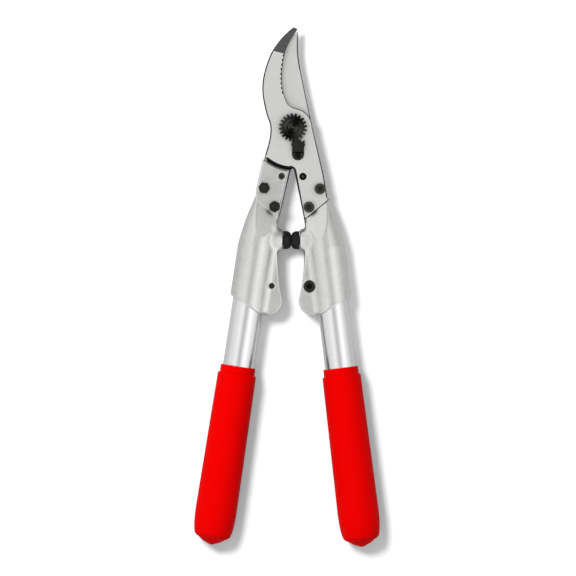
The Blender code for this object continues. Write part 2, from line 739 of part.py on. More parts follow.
def make_bumper(side, half):
    """A domed rubber bumper, its stem in the head's boss."""
    dome_steps = 5
    dome = []
    for i in range(dome_steps + 1):
        t = i / dome_steps
        dome.append(
            (
                BUMPER_FLAT_RADIUS + (BUMPER_RADIUS - BUMPER_FLAT_RADIUS) * math.cos(t * math.pi / 2),
                BUMPER_STRAIGHT + (BUMPER_LENGTH - BUMPER_STRAIGHT) * math.sin(t * math.pi / 2),
            )
        )
    profile = [
        (0, -BUMPER_STEM_LENGTH),
        (BUMPER_STEM_RADIUS, -BUMPER_STEM_LENGTH),
        (BUMPER_STEM_RADIUS, 0),
        (BUMPER_RADIUS, 0),
        *dome,
        (0, BUMPER_LENGTH),
    ]
    location = (BOSS_FACE_X + SEAT_GAP, BUMPER_Y, 0)
    turn = Matrix.Rotation(math.pi / 2, 3, "Y")
    return place(side + "_bumper", turned(profile, BUMPER_STEPS), black_rubber, half, location, turn)


def make_tube(side, half):
    inner = TUBE_RADIUS - TUBE_WALL
    profile = ((TUBE_RADIUS, TUBE_START), (TUBE_RADIUS, TUBE_END), (inner, TUBE_END), (inner, TUBE_START))
    location = (-AXIS_OFFSET, 0, 0)
    return place(side + "_handle_tube", turned(profile), tube_aluminium, half, location, tube_turn())


def make_grip(side, half):
    """A grip that swells towards its closed, shallowly pointed end, with a collar at its mouth."""
    bore = TUBE_RADIUS + SEAT_GAP
    collar = TUBE_RADIUS + COLLAR_WALL
    mouth = TUBE_RADIUS + GRIP_MOUTH_WALL
    belly = TUBE_RADIUS + GRIP_BELLY_WALL
    shoulder = GRIP_LENGTH - GRIP_CONE_HEIGHT
    ease_along, ease_in = GRIP_MOUTH_EASE
    swell_start = COLLAR_LENGTH + ease_along
    profile = [
        (bore, 0),
        (collar, 0),
        (collar, COLLAR_LENGTH),
        (mouth - ease_in, COLLAR_LENGTH),
        (mouth, swell_start),
    ]
    swell_steps = 3
    for i in range(1, swell_steps + 1):
        t = i / swell_steps
        along = swell_start + (GRIP_BELLY_ALONG - swell_start) * t
        profile.append((mouth + (belly - mouth) * t, along))
    shoulder_steps = 5
    for i in range(1, shoulder_steps + 1):
        angle = i / shoulder_steps * math.pi / 2
        profile.append(
            (
                GRIP_CONE_RADIUS + (belly - GRIP_CONE_RADIUS) * math.cos(angle),
                GRIP_BELLY_ALONG + (shoulder - GRIP_BELLY_ALONG) * math.sin(angle),
            )
        )
    profile += [
        (GRIP_TIP_RADIUS, GRIP_LENGTH - GRIP_TIP_HEIGHT),
        (0, GRIP_LENGTH),
        (0, GRIP_LENGTH - GRIP_END_WALL + SEAT_GAP),
        (bore, GRIP_LENGTH - GRIP_END_WALL + SEAT_GAP),
    ]
    location = (*on_axis(GRIP_START, 0), 0)
    return place(side + "_grip", turned_shell(profile), red_grip, half, location, tube_turn())


def turned_shell(profile):
    """A closed-ended shell: its profile starts and ends at the bore's mouth and touches the axis."""
    bm = bmesh.new()
    row = [bm.verts.new((radius, 0, height)) for radius, height in profile]
    on_the_axis = [i for i, (radius, _) in enumerate(profile) if radius == 0]
    edges = []
    for i in range(len(row)):
        if {i, (i + 1) % len(row)} != set(on_the_axis):
            edges.append(bm.edges.new((row[i], row[(i + 1) % len(row)])))
    bmesh.ops.spin(
        bm,
        geom=row + edges,
        axis=(0, 0, 1),
        cent=(0, 0, 0),
        angle=math.tau,
        steps=GRIP_STEPS,
        use_merge=True,
    )
    return bm


def make_half(side, half, blade_thickness, blade_name):
    """Everything that rides on one handle, apart from its blade."""
    make_head(side, half)
    make_bumper(side, half)
    make_tube(side, half)
    make_grip(side, half)
    seat = -BLADE_FACE - blade_thickness - SEAT_GAP
    length = SHOULDER_LEVEL + 2 * SEAT_GAP + HEX_HEIGHT - seat
    for where, centre in BLADE_BOLTS.items():
        make_bolt(f"{blade_name}_bolt_{where}", half, centre, seat, length, BOLT_HEAD_HEIGHT)
        make_nut(f"{blade_name}_nut_{where}", half, centre)
    make_pin(blade_name + "_pin", half, blade_thickness)
    clamp_place = on_axis(CLAMP_BOLT_ALONG, CLAMP_BOLT_ACROSS)
    clamp_seat = -CLAMP_SEAT - SEAT_GAP
    clamp_length = EAR_FRONT - SEAT_GAP - clamp_seat
    make_bolt(
        side + "_clamp_bolt",
        half,
        clamp_place,
        clamp_seat,
        clamp_length,
        CLAMP_HEAD_HEIGHT,
        CLAMP_BOLT_RADIUS,
    )


def nut_outline(root, tip, flank):
    """The toothed rim: each tooth narrows from its root to its tip, by an equal flank clearance."""
    pitch = math.tau / NUT_TEETH
    outline = []
    for i in range(NUT_TEETH):
        middle = NUT_PHASE + i * pitch
        for radius, share in (
            (root, -NUT_TOOTH_ROOT_SHARE),
            (tip, -NUT_TOOTH_TIP_SHARE),
            (tip, NUT_TOOTH_TIP_SHARE),
            (root, NUT_TOOTH_ROOT_SHARE),
        ):
            angle = middle + share * pitch + math.copysign(flank / radius, share)
            outline.append((radius * math.cos(angle), radius * math.sin(angle)))
    return outline


def make_toothed_nut():
    low = COUNTER_FRONT_Z + SEAT_GAP
    rim = nut_outline(NUT_ROOT_RADIUS, NUT_RADIUS, 0)
    nut = place("toothed_nut", prism(rim, low, low + NUT_DISC), black_steel)
    collar = cylinder((0, 0), NUT_COLLAR_RADIUS, low + NUT_DISC / 2, low + NUT_DISC + NUT_COLLAR, 32)
    combine(nut, place("toothed_nut_collar", collar, None), "UNION")
    bore = cylinder((0, 0), PIVOT_THREAD_RADIUS + SEAT_GAP, 0, low + 4 * NUT_DISC, 32)
    combine(nut, place("toothed_nut_bore", bore, None), "DIFFERENCE")
    return nut


def make_pivot_bolt():
    """Head at the back, a plain shank in both blades, and a thread that carries the nut."""
    shank_end = COUNTER_FRONT_Z - PIVOT_THREAD_OVERLAP
    end = COUNTER_FRONT_Z + SEAT_GAP + NUT_DISC + NUT_COLLAR + PIVOT_END
    chamfer = PIVOT_CHAMFER
    return place(
        "pivot_bolt",
        turned(
            (
                (0, 0),
                (PIVOT_HEAD_RADIUS - chamfer, 0),
                (PIVOT_HEAD_RADIUS, chamfer),
                (PIVOT_HEAD_RADIUS, PIVOT_HEAD_HEIGHT),
                (PIVOT_SHANK_RADIUS, PIVOT_HEAD_HEIGHT),
                (PIVOT_SHANK_RADIUS, shank_end),
                (PIVOT_THREAD_RADIUS, shank_end),
                (PIVOT_THREAD_RADIUS, end - chamfer),
                (PIVOT_THREAD_RADIUS - chamfer, end),
                (0, end),
            )
        ),
        black_steel,
    )


def segment_outline():
    """The sector's teeth from right to left, then its flared sides and its round end."""
    outline = []
    for i in range(SEGMENT_TEETH):
        middle = SEGMENT_FIRST_TOOTH + i * SEGMENT_TOOTH_PITCH
        for radius, share in (
            (SEGMENT_ROOT_RADIUS, -SEGMENT_TOOTH_ROOT_SHARE),
            (SEGMENT_TIP_RADIUS, -SEGMENT_TOOTH_TIP_SHARE),
            (SEGMENT_TIP_RADIUS, SEGMENT_TOOTH_TIP_SHARE),
            (SEGMENT_ROOT_RADIUS, SEGMENT_TOOTH_ROOT_SHARE),
        ):
            outline += arc(SEGMENT_END, radius, middle + share * SEGMENT_TOOTH_PITCH, 0, 1)[:1]
    x, y = SEGMENT_END
    return [
        *outline,
        (x - SEGMENT_FLARE_HALF_WIDTH, y + SEGMENT_FLARE_UP),
        (x - SEGMENT_HALF_WIDTH, y + SEGMENT_FLARE_UP - SEGMENT_FLARE_DROP),
        *arc(SEGMENT_END, SEGMENT_END_RADIUS, 180, 360, 14),
        (x + SEGMENT_HALF_WIDTH, y + SEGMENT_FLARE_UP - SEGMENT_FLARE_DROP),
        (x + SEGMENT_FLARE_HALF_WIDTH, y + SEGMENT_FLARE_UP),
    ]


def make_locking_segment():
    """A toothed sector that holds the nut, with a lower round end for its screw."""
    low = COUNTER_FRONT_Z + SEAT_GAP
    high = low + SEGMENT_THICKNESS
    segment = place("locking_segment", prism(segment_outline(), low, high), black_steel)
    reach = nut_outline(NUT_ROOT_RADIUS + SEAT_GAP, NUT_RADIUS + SEAT_GAP, SEAT_GAP / 2)
    teeth = prism(reach, low - CUT_PAST, high + CUT_PAST)
    combine(segment, place("segment_teeth", teeth, None), "DIFFERENCE")
    wide, edge = 3 * SEGMENT_END_RADIUS, SEGMENT_SCREW[1] + SEGMENT_STEP_ABOVE_SCREW
    step = prism(
        [(-wide, edge - wide), (wide, edge - wide), (wide, edge), (-wide, edge)],
        high - SEGMENT_STEP,
        high + CUT_PAST,
    )
    combine(segment, place("segment_step", step, None), "DIFFERENCE")
    hole = cylinder(SEGMENT_SCREW, SEGMENT_SCREW_RADIUS + SEAT_GAP, 0, high + CUT_PAST)
    combine(segment, place("segment_hole", hole, None), "DIFFERENCE")
    seat = high - SEGMENT_STEP - SEGMENT_SCREW_HEIGHT
    pocket = cylinder(SEGMENT_SCREW, SEGMENT_SCREW_HEAD + SEAT_GAP, seat, high + CUT_PAST, 24)
    combine(segment, place("segment_pocket", pocket, None), "DIFFERENCE")
    return segment


def make_segment_screw():
    """A flush head in the segment's pocket, its thread in the counter-blade."""
    top = COUNTER_FRONT_Z + SEAT_GAP + SEGMENT_THICKNESS - SEGMENT_STEP
    seat = top - SEGMENT_SCREW_HEIGHT + SEAT_GAP
    foot = INTERFACE_Z + BLADE_FACE + SEAT_GAP
    profile = (
        (0, foot),
        (SEGMENT_SCREW_RADIUS, foot),
        (SEGMENT_SCREW_RADIUS, seat),
        (SEGMENT_SCREW_HEAD, seat),
        (SEGMENT_SCREW_HEAD, top),
        (0, top),
    )
    location = (*SEGMENT_SCREW, 0)
    screw = place("segment_screw", turned(profile, 24), black_steel, None, location)
    socket = hexagon(SEGMENT_SOCKET, top - SEGMENT_SOCKET_DEPTH, top + CUT_PAST)
    combine(screw, place("segment_screw_socket", socket, None, None, location), "DIFFERENCE")
    return screw


right_half = half_frame("right")
left_half = half_frame("left")
make_counter_blade(right_half)
make_cutting_blade(left_half)
make_half("right", right_half, COUNTER_BLADE_THICKNESS, "counter_blade")
make_half("left", left_half, CUTTING_BLADE_THICKNESS, "cutting_blade")
make_pivot_bolt()
make_toothed_nut()
make_locking_segment()
make_segment_screw()
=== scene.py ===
import math

import bmesh
import bpy
from mathutils import Matrix, Vector


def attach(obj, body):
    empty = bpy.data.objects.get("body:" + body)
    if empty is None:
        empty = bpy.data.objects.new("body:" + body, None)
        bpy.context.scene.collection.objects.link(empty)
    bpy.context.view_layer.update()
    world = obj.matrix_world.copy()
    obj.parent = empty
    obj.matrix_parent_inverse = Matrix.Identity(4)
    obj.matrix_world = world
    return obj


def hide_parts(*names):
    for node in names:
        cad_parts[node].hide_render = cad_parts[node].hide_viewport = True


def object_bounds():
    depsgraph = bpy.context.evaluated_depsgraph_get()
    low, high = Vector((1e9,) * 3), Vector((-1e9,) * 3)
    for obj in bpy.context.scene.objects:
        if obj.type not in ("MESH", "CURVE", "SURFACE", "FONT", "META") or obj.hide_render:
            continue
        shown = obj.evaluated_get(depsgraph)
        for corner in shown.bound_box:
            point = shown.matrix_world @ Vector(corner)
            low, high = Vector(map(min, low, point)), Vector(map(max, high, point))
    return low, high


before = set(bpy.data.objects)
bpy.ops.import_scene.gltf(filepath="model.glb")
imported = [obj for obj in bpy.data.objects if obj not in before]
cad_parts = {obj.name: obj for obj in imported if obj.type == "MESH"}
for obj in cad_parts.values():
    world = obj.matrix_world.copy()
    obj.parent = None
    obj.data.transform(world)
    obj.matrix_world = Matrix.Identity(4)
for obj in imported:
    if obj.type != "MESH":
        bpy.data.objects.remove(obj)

cad_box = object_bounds()


# The counter-blade is a hook of hardened steel plate, ground to a satin face on both sides. Its flanks
# are near-black: partly their dark heat-treatment scale, partly painted shade and dark reflection on its
# rounded rims and in its holes and grooves. Its tip is ground thinner and blued, and nine sap grooves
# cross its mouth. Two socket bolts and a pin hold its shank on the right handle head. All sizes are in
# millimetres.
MM = 0.001
PIVOT_LEVEL = 9.15
SEAT = 0.15
CLEARANCE = 0.3
HOOK_THICKNESS = 5.0
HUB_RADIUS = 31.2
SHOULDER_RADIUS = 14.9
SHOULDER_END = 178
SHANK_OUTER_BEND = Vector((-24.1, -35.6))
SHANK_OUTER_END = Vector((-27.7, -55.6))
SHANK_INNER_TOP = Vector((-1.0, -31.1))
SHANK_INNER_END = Vector((-9.75, -70.9))
SHANK_CORNER = 3.0
SHOULDER_STEPS = 24
HUB_STEPS = 28
FOOT_CORNER = 0.8
OUTER_RIM_CHANGE = 0.9
FOOT_RIM_CHANGE = 0.93
HOOK_BACK = (
    (21.8, -23.6),
    (18.2, -9.9),
    (17.6, 0.8),
    (21.0, 11.3),
    (24.0, 26.0),
    (23.4, 39.3),
    (18.4, 55.8),
    (11.1, 67.5),
    (3.4, 75.5),
)
HOOK_TIP = ((1.5, 77.0), (0.4, 77.35), (-0.9, 77.15), (-1.9, 76.4), (-2.15, 75.5))
HOOK_MOUTH = (
    (-1.2, 74.0),
    (3.3, 66.9),
    (7.1, 57.5),
    (9.2, 43.6),
    (8.5, 29.7),
    (5.0, 19.4),
    (0.4, 15.1),
)
HOOK_SHOULDER_START = 105
TIP_LINE = ((-15.05, 58.7), (-7.4, 56.9))
TIP_SLOPE = 0.11
TIP_FACES_UP = 0.3
GROOVES = 9
GROOVE_PITCH = 3.6
FIRST_GROOVE = 20.6
GROOVE_RADIUS = 1.2
GROOVE_FLOOR = 0.6
BLADE_BOLTS = {"upper": (-21.55, -47.0), "lower": (-13.25, -61.3)}
BOLT_HOLE_RADIUS = 2.8
PIVOT_HOLE_RADIUS = 5.3
PIN_PLACE = (-8.23, -37.7)
PIN_HOLE_RADIUS = 2.5
COUNTERSINK_FOOT = (-0.4, -0.8)
COUNTERSINK_TOP = (0.8, 0.4)
SHARP_ANGLE = math.radians(32)

# How wide the rim is rounded in each region, as (left, right, bottom, top, width). The first one counts.
FAR = 99
WIDE_RIM = 1.0
NARROW_RIM = 0.6
MOUTH_RIM = 0.4
EDGE_RIM = 0.04
RIM_RUN_OUT = 0.4
HOOK_RIMS = (
    (-FAR, FAR, 70, FAR, MOUTH_RIM),
    (-2.5, 11, -71, -27, 1.6),
    (-FAR, FAR, -FAR, -54, 0.15),
    (-FAR, 1, -FAR, -20, 1.2),
    (-FAR, -10.5, -FAR, FAR, WIDE_RIM),
    (15, FAR, -FAR, 10, 0.85),
    (-FAR, 2, 14, FAR, MOUTH_RIM),
)


def through(points, steps=8):
    """A Catmull-Rom curve through the points, without its last one."""
    ends = [points[0], *points, points[-1]]
    path = []
    for a, b, c, d in zip(ends, ends[1:], ends[2:], ends[3:]):
        a, b, c, d = Vector(a), Vector(b), Vector(c), Vector(d)
        for i in range(steps):
            t = i / steps
            bend = 2 * a - 5 * b + 4 * c - d
            path.append((2 * b + (c - a) * t + bend * t**2 + (3 * b - a - 3 * c + d) * t**3) / 2)
    return path


def at_angle(centre, radius, degrees):
    a = math.radians(degrees)
    return Vector(centre) + radius * Vector((math.cos(a), math.sin(a)))


def arc(centre, radius, start, end, steps):
    """Points on an arc, with its angles in degrees."""
    return [at_angle(centre, radius, start + (end - start) * i / steps) for i in range(steps + 1)]


def eased(before, corner, after, cut, steps=6):
    """A corner rounded off over the given length on both sides."""
    start = corner + (before - corner).normalized() * cut
    end = corner + (after - corner).normalized() * cut
    return [
        start * (1 - t) ** 2 + corner * 2 * t * (1 - t) + end * t**2
        for t in (i / steps for i in range(steps + 1))
    ]


def degrees_of(point):
    return math.degrees(math.atan2(point.y, point.x))


def shank(shoulder_start, back_foot, waist=()):
    """The outline that both blades share, from the shoulder down the shank and round the hub. It has a
    point more on each straight line whose rim changes its width."""
    shoulder = arc((0, 0), SHOULDER_RADIUS, shoulder_start, SHOULDER_END, SHOULDER_STEPS)
    hub_start = degrees_of(SHANK_INNER_TOP) + math.degrees(SHANK_CORNER / HUB_RADIUS)
    on_hub = arc((0, 0), HUB_RADIUS, hub_start, degrees_of(back_foot), HUB_STEPS)
    return [
        *shoulder,
        *[Vector(point) for point in waist],
        *eased(shoulder[-1], SHANK_OUTER_BEND, SHANK_OUTER_END, SHANK_CORNER),
        SHANK_OUTER_BEND.lerp(SHANK_OUTER_END, OUTER_RIM_CHANGE),
        *eased(SHANK_OUTER_BEND, SHANK_OUTER_END, SHANK_INNER_END, FOOT_CORNER, 3),
        SHANK_OUTER_END.lerp(SHANK_INNER_END, FOOT_RIM_CHANGE),
        SHANK_INNER_END,
        *eased(SHANK_INNER_END, SHANK_INNER_TOP, on_hub[0], SHANK_CORNER)[:-1],
        *on_hub[:-1],
    ]


def rim_width(point, regions):
    for left, right, bottom, top, width in regions:
        if left < point.x < right and bottom < point.y < top:
            return width
    return NARROW_RIM


def hook_rim(point):
    """The hook's rim runs out at the corner where its back meets the hub."""
    corner = Vector((-HOOK_BACK[0][0], HOOK_BACK[0][1]))
    return min(rim_width(point, HOOK_RIMS), EDGE_RIM + RIM_RUN_OUT * (point - corner).length)


def rim_rings(outline, level, inwards, width_at):
    """Rings from a face's flat, drawn in by the width at each point, round to its flank. The face lies
    at the level and the plate's inside is upwards or downwards of it."""
    turning = sum(a.cross(b) for a, b in zip(outline, outline[1:] + outline[:1]))
    rings = [[] for _ in range(4)]
    for before, at, after in zip(outline[-1:] + outline[:-1], outline, outline[1:] + outline[:1]):
        run = ((at - before).normalized() + (after - at).normalized()).normalized()
        width = width_at(at)
        inward = Vector((-run.y, run.x)) * math.copysign(width, turning)
        for i, ring in enumerate(rings):
            a = math.radians(30 * i)
            flat = at + inward * (1 - math.sin(a))
            ring.append(Vector((*flat, level + inwards * width * (1 - math.cos(a)))))
    return rings


def stacked(rings):
    """A closed solid through rings of equally many corners. Its sides take the second material."""
    bm = bmesh.new()
    rows = [[bm.verts.new(corner) for corner in ring] for ring in rings]
    for near, far in zip(rows, rows[1:]):
        for i, corner in enumerate(near):
            bm.faces.new((near[i - 1], corner, far[i], far[i - 1])).material_index = 1
    bm.faces.new(rows[0])
    bm.faces.new(rows[-1])
    bmesh.ops.recalc_face_normals(bm, faces=bm.faces)
    return bm


def drill(bm, centre, radius, low, high, steps=40, top_radius=None):
    """Adds a round cutter, straight or tapered, to a bmesh of cutters and returns that bmesh."""
    bmesh.ops.create_cone(
        bm,
        cap_ends=True,
        segments=steps,
        radius1=radius,
        radius2=radius if top_radius is None else top_radius,
        depth=high - low,
        matrix=Matrix.Translation((centre[0], centre[1], (low + high) / 2)),
    )
    return bm


def blade_holes(flip):
    """Cutters for the pivot, the two bolts and the pin. The right half's places are flipped in X."""
    bm = drill(bmesh.new(), (0, 0), PIVOT_HOLE_RADIUS, 0, 2 * PIVOT_LEVEL, 64)
    for x, y in BLADE_BOLTS.values():
        drill(bm, (flip * x, y), BOLT_HOLE_RADIUS, 0, 2 * PIVOT_LEVEL)
    return drill(bm, (flip * PIN_PLACE[0], PIN_PLACE[1]), PIN_HOLE_RADIUS, 0, 2 * PIVOT_LEVEL)


def thing(name, bm, materials, unit=MM):
    """A smooth-shaded object of a bmesh in the given unit, with one slot for each of its materials."""
    bm.transform(Matrix.Scale(unit, 4))
    mesh = bpy.data.meshes.new(name)
    bm.to_mesh(mesh)
    bm.free()
    mesh.shade_smooth()
    mesh.set_sharp_from_angle(angle=SHARP_ANGLE)
    for material in materials:
        mesh.materials.append(material)
    made = bpy.data.objects.new(name, mesh)
    bpy.context.scene.collection.objects.link(made)
    return made


def settle(made):
    """Applies the object's modifiers to its mesh."""
    graph = bpy.context.evaluated_depsgraph_get()
    mesh = bpy.data.meshes.new_from_object(made.evaluated_get(graph))
    made.modifiers.clear()
    made.data = mesh


def carve(made, tool, operation="DIFFERENCE", slot=0):
    """Cuts with, or adds, a bmesh. The faces that it leaves take the given material slot."""
    for face in tool.faces:
        face.material_index = slot
    other = thing(made.name + "_tool", tool, made.data.materials)
    boolean = made.modifiers.new("carve", "BOOLEAN")
    boolean.operation = operation
    boolean.solver = "EXACT"
    boolean.object = other
    settle(made)
    bpy.data.objects.remove(other, do_unlink=True)


def dress(made, body, node):
    """The finished piece keeps its flat faces evenly lit, rides on a body and stands for a CAD node, whose
    part it hides."""
    made.data.set_sharp_from_angle(angle=SHARP_ANGLE)
    weighted = made.modifiers.new("even_flats", "WEIGHTED_NORMAL")
    weighted.keep_sharp = True
    settle(made)
    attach(made, body)
    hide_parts(node)


def node(tree, kind, inputs=None, **properties):
    """Adds a shader node. An input that is given a socket is linked to it, and any other is set."""
    made = tree.nodes.new(kind)
    for name, value in properties.items():
        setattr(made, name, value)
    for name, value in (inputs or {}).items():
        if isinstance(value, bpy.types.NodeSocket):
            tree.links.new(value, made.inputs[name])
        else:
            made.inputs[name].default_value = value
    return made


def maths(tree, operation, *values, **properties):
    made = node(tree, "ShaderNodeMath", dict(enumerate(values)), operation=operation, **properties)
    return made.outputs[0]


def mapped(tree, value, start, end, low=0.0, high=1.0, **properties):
    """A value carried from the range between start and end to the one between low and high."""
    inputs = {"Value": value, "From Min": start, "From Max": end, "To Min": low, "To Max": high}
    return node(tree, "ShaderNodeMapRange", inputs, **properties).outputs["Result"]


def noise(tree, place, scale, detail, roughness=0.5):
    inputs = {"Vector": place, "Scale": scale, "Detail": detail, "Roughness": roughness}
    return node(tree, "ShaderNodeTexNoise", inputs).outputs["Fac"]


def scaled(tree, colour, factor):
    inputs = {0: colour, "Scale": factor}
    return node(tree, "ShaderNodeVectorMath", inputs, operation="SCALE").outputs[0]


def blended(tree, share, colour, other):
    inputs = {"Factor": share, "A": colour, "B": other}
    return node(tree, "ShaderNodeMix", inputs, data_type="RGBA").outputs["Result"]


def group(name, inputs, outputs):
    """An empty shader group: its tree, what it is given and what it puts out."""
    tree = bpy.data.node_groups.new(name, "ShaderNodeTree")
    for title, kind, value in inputs:
        socket = tree.interface.new_socket(title, in_out="INPUT", socket_type="NodeSocket" + kind)
        if value is not None:
            socket.default_value = value
    for title, kind in outputs:
        tree.interface.new_socket(title, in_out="OUTPUT", socket_type="NodeSocket" + kind)
    return tree, tree.nodes.new("NodeGroupInput").outputs, tree.nodes.new("NodeGroupOutput").inputs


def grain_group():
    """Grain stretched along one axis over a soft mottle: a shaded colour, a roughness and a height."""
    tree, given, made = group(
        "surface_grain",
        (
            ("Coordinates", "Vector", None),
            ("Colour", "Color", (0.6, 0.6, 0.6, 1)),
            ("Grain Size", "Vector", (1, 1, 1)),
            ("Grain Depth", "Float", 0.1),
            ("Mottle Scale", "Float", 150.0),
            ("Mottle Depth", "Float", 0.05),
            ("Roughness", "Float", 0.4),
            ("Roughness Spread", "Float", 0.1),
        ),
        (("Colour", "Color"), ("Roughness", "Float"), ("Height", "Float")),
    )
    place = given["Coordinates"]
    stretched = node(tree, "ShaderNodeVectorMath", {0: place, 1: given["Grain Size"]}, operation="MULTIPLY")
    grain = noise(tree, stretched.outputs[0], 1000.0, 3.0, 0.6)
    mottle = maths(tree, "SUBTRACT", noise(tree, place, given["Mottle Scale"], 4.0, 0.55), 0.5)
    grain_shade = maths(tree, "MULTIPLY", maths(tree, "SUBTRACT", grain, 0.5), given["Grain Depth"])
    mottle_shade = maths(tree, "MULTIPLY", mottle, given["Mottle Depth"])
    factor = maths(tree, "ADD", maths(tree, "ADD", grain_shade, mottle_shade), 1.0)
    rough = maths(tree, "MULTIPLY_ADD", mottle, given["Roughness Spread"], given["Roughness"])
    tree.links.new(scaled(tree, given["Colour"], factor), made["Colour"])
    tree.links.new(rough, made["Roughness"])
    tree.links.new(grain, made["Height"])
    return tree


def wear_and_highlight_group():
    """Lightens a colour where the piece's edge attribute is set: wear on convex edges, and on fasteners'
    chamfers also painted highlight.
    """
    tree, given, made = group(
        "edge_wear_and_highlight",
        (
            ("Colour", "Color", (0.1, 0.1, 0.1, 1)),
            ("Worn And Highlit Colour", "Color", (0.5, 0.5, 0.5, 1)),
            ("Amount", "Float", 0.5),
            ("Coordinates", "Vector", None),
        ),
        (("Colour", "Color"),),
    )
    edge = node(tree, "ShaderNodeAttribute", attribute_name="edge").outputs["Fac"]
    broken = maths(tree, "MULTIPLY", edge, noise(tree, given["Coordinates"], 420.0, 3.0))
    share = maths(tree, "MULTIPLY", broken, given["Amount"], use_clamp=True)
    tree.links.new(blended(tree, share, given["Colour"], given["Worn And Highlit Colour"]), made["Colour"])
    return tree


surface_grain = grain_group()
edge_wear_and_highlight = wear_and_highlight_group()


def finish_material(
    name,
    colour,
    metallic,
    roughness,
    spread=0.08,
    grain=(1, 1, 1),
    grain_depth=0.08,
    mottle=150.0,
    mottle_depth=0.05,
    bump=0.02,
    turn=0.0,
    wear_and_highlight=None,
    specular=0.5,
    cast=None,
    rings=None,
    painted_sheen_wedge=None,
):
    """A finish of grain, mottle and bump. Its edges are lightened to a colour by an amount, where these are
    given: wear, and on fasteners' chamfers also painted highlight. It colours other surfaces by the cast
    colour. Rings are the pitch and depth of turning marks, and the painted sheen wedge is the direction
    and depth of dark wedges painted into the colour as the sheen of the turned face."""
    material = bpy.data.materials.new(name)
    material.use_nodes = True
    tree = material.node_tree
    place = node(tree, "ShaderNodeTexCoord").outputs["Object"]
    turned_to = node(tree, "ShaderNodeMapping", {"Vector": place, "Rotation": (0, 0, turn)})
    settings = {
        "Coordinates": turned_to.outputs["Vector"],
        "Colour": (*colour, 1),
        "Grain Size": grain,
        "Grain Depth": grain_depth,
        "Mottle Scale": mottle,
        "Mottle Depth": mottle_depth,
        "Roughness": roughness,
        "Roughness Spread": spread,
    }
    surface = node(tree, "ShaderNodeGroup", settings, node_tree=surface_grain).outputs
    shown = surface["Colour"]
    # The edge colour is wear, and on fasteners' chamfers also painted highlight.
    if wear_and_highlight is not None:
        to, amount = wear_and_highlight
        wear = {"Colour": shown, "Worn And Highlit Colour": (*to, 1), "Amount": amount, "Coordinates": place}
        shown = node(tree, "ShaderNodeGroup", wear, node_tree=edge_wear_and_highlight).outputs["Colour"]
    # Paints the turned face's sheen into the colour: dark wedges towards the given direction and its
    # opposite.
    if painted_sheen_wedge is not None:
        direction, depth = painted_sheen_wedge
        parts = node(tree, "ShaderNodeSeparateXYZ", {0: place}).outputs
        angle = maths(tree, "ARCTAN2", parts["Y"], parts["X"])
        lobe = maths(tree, "COSINE", maths(tree, "MULTIPLY_ADD", angle, 2.0, -2 * direction))
        shown = scaled(tree, shown, maths(tree, "MULTIPLY_ADD", lobe, -depth, 1.0))
    if cast is not None:
        path = node(tree, "ShaderNodeLightPath").outputs
        bounced = maths(tree, "MAXIMUM", path["Is Diffuse Ray"], path["Is Glossy Ray"])
        shown = blended(tree, bounced, shown, (*cast, 1))
    height = surface["Height"]
    if rings is not None:
        pitch, depth = rings
        marks = {"Vector": place, "Scale": math.tau / (20 * pitch * MM)}
        wave = node(tree, "ShaderNodeTexWave", marks, wave_type="RINGS", rings_direction="Z")
        height = maths(tree, "MULTIPLY_ADD", wave.outputs["Fac"], depth / bump, height)
    raised = node(tree, "ShaderNodeBump", {"Height": height, "Strength": 1.0, "Distance": bump * MM})
    shader = tree.nodes["Principled BSDF"].inputs
    shader["Metallic"].default_value = metallic
    shader["Specular IOR Level"].default_value = specular
    tree.links.new(shown, shader["Base Color"])
    tree.links.new(surface["Roughness"], shader["Roughness"])
    tree.links.new(raised.outputs["Normal"], shader["Normal"])
    return material


satin_steel = finish_material(
    "satin_ground_steel",
    (0.82, 0.82, 0.805),
    1.0,
    0.5,
    grain=(1.5, 0.25, 1.5),
    grain_depth=0.1,
    mottle=90.0,
    bump=0.004,
)
# Near-black for both blades' flanks, hole walls and grooves: partly their dark scale, partly painted shade
# and dark reflection on the rounded rims and in the holes and grooves.
flank_scale_and_shade = finish_material(
    "scaled_steel_flank_with_painted_shade", (0.022, 0.022, 0.021), 0.8, 0.5, grain_depth=0.4, mottle_depth=0.3, bump=0.015
)
blued_tip = finish_material(
    "blued_ground_tip",
    (0.11, 0.11, 0.112),
    0.75,
    0.42,
    grain=(0.12, 1.6, 1.0),
    grain_depth=0.7,
    mottle_depth=0.25,
    bump=0.01,
    turn=math.radians(8),
)


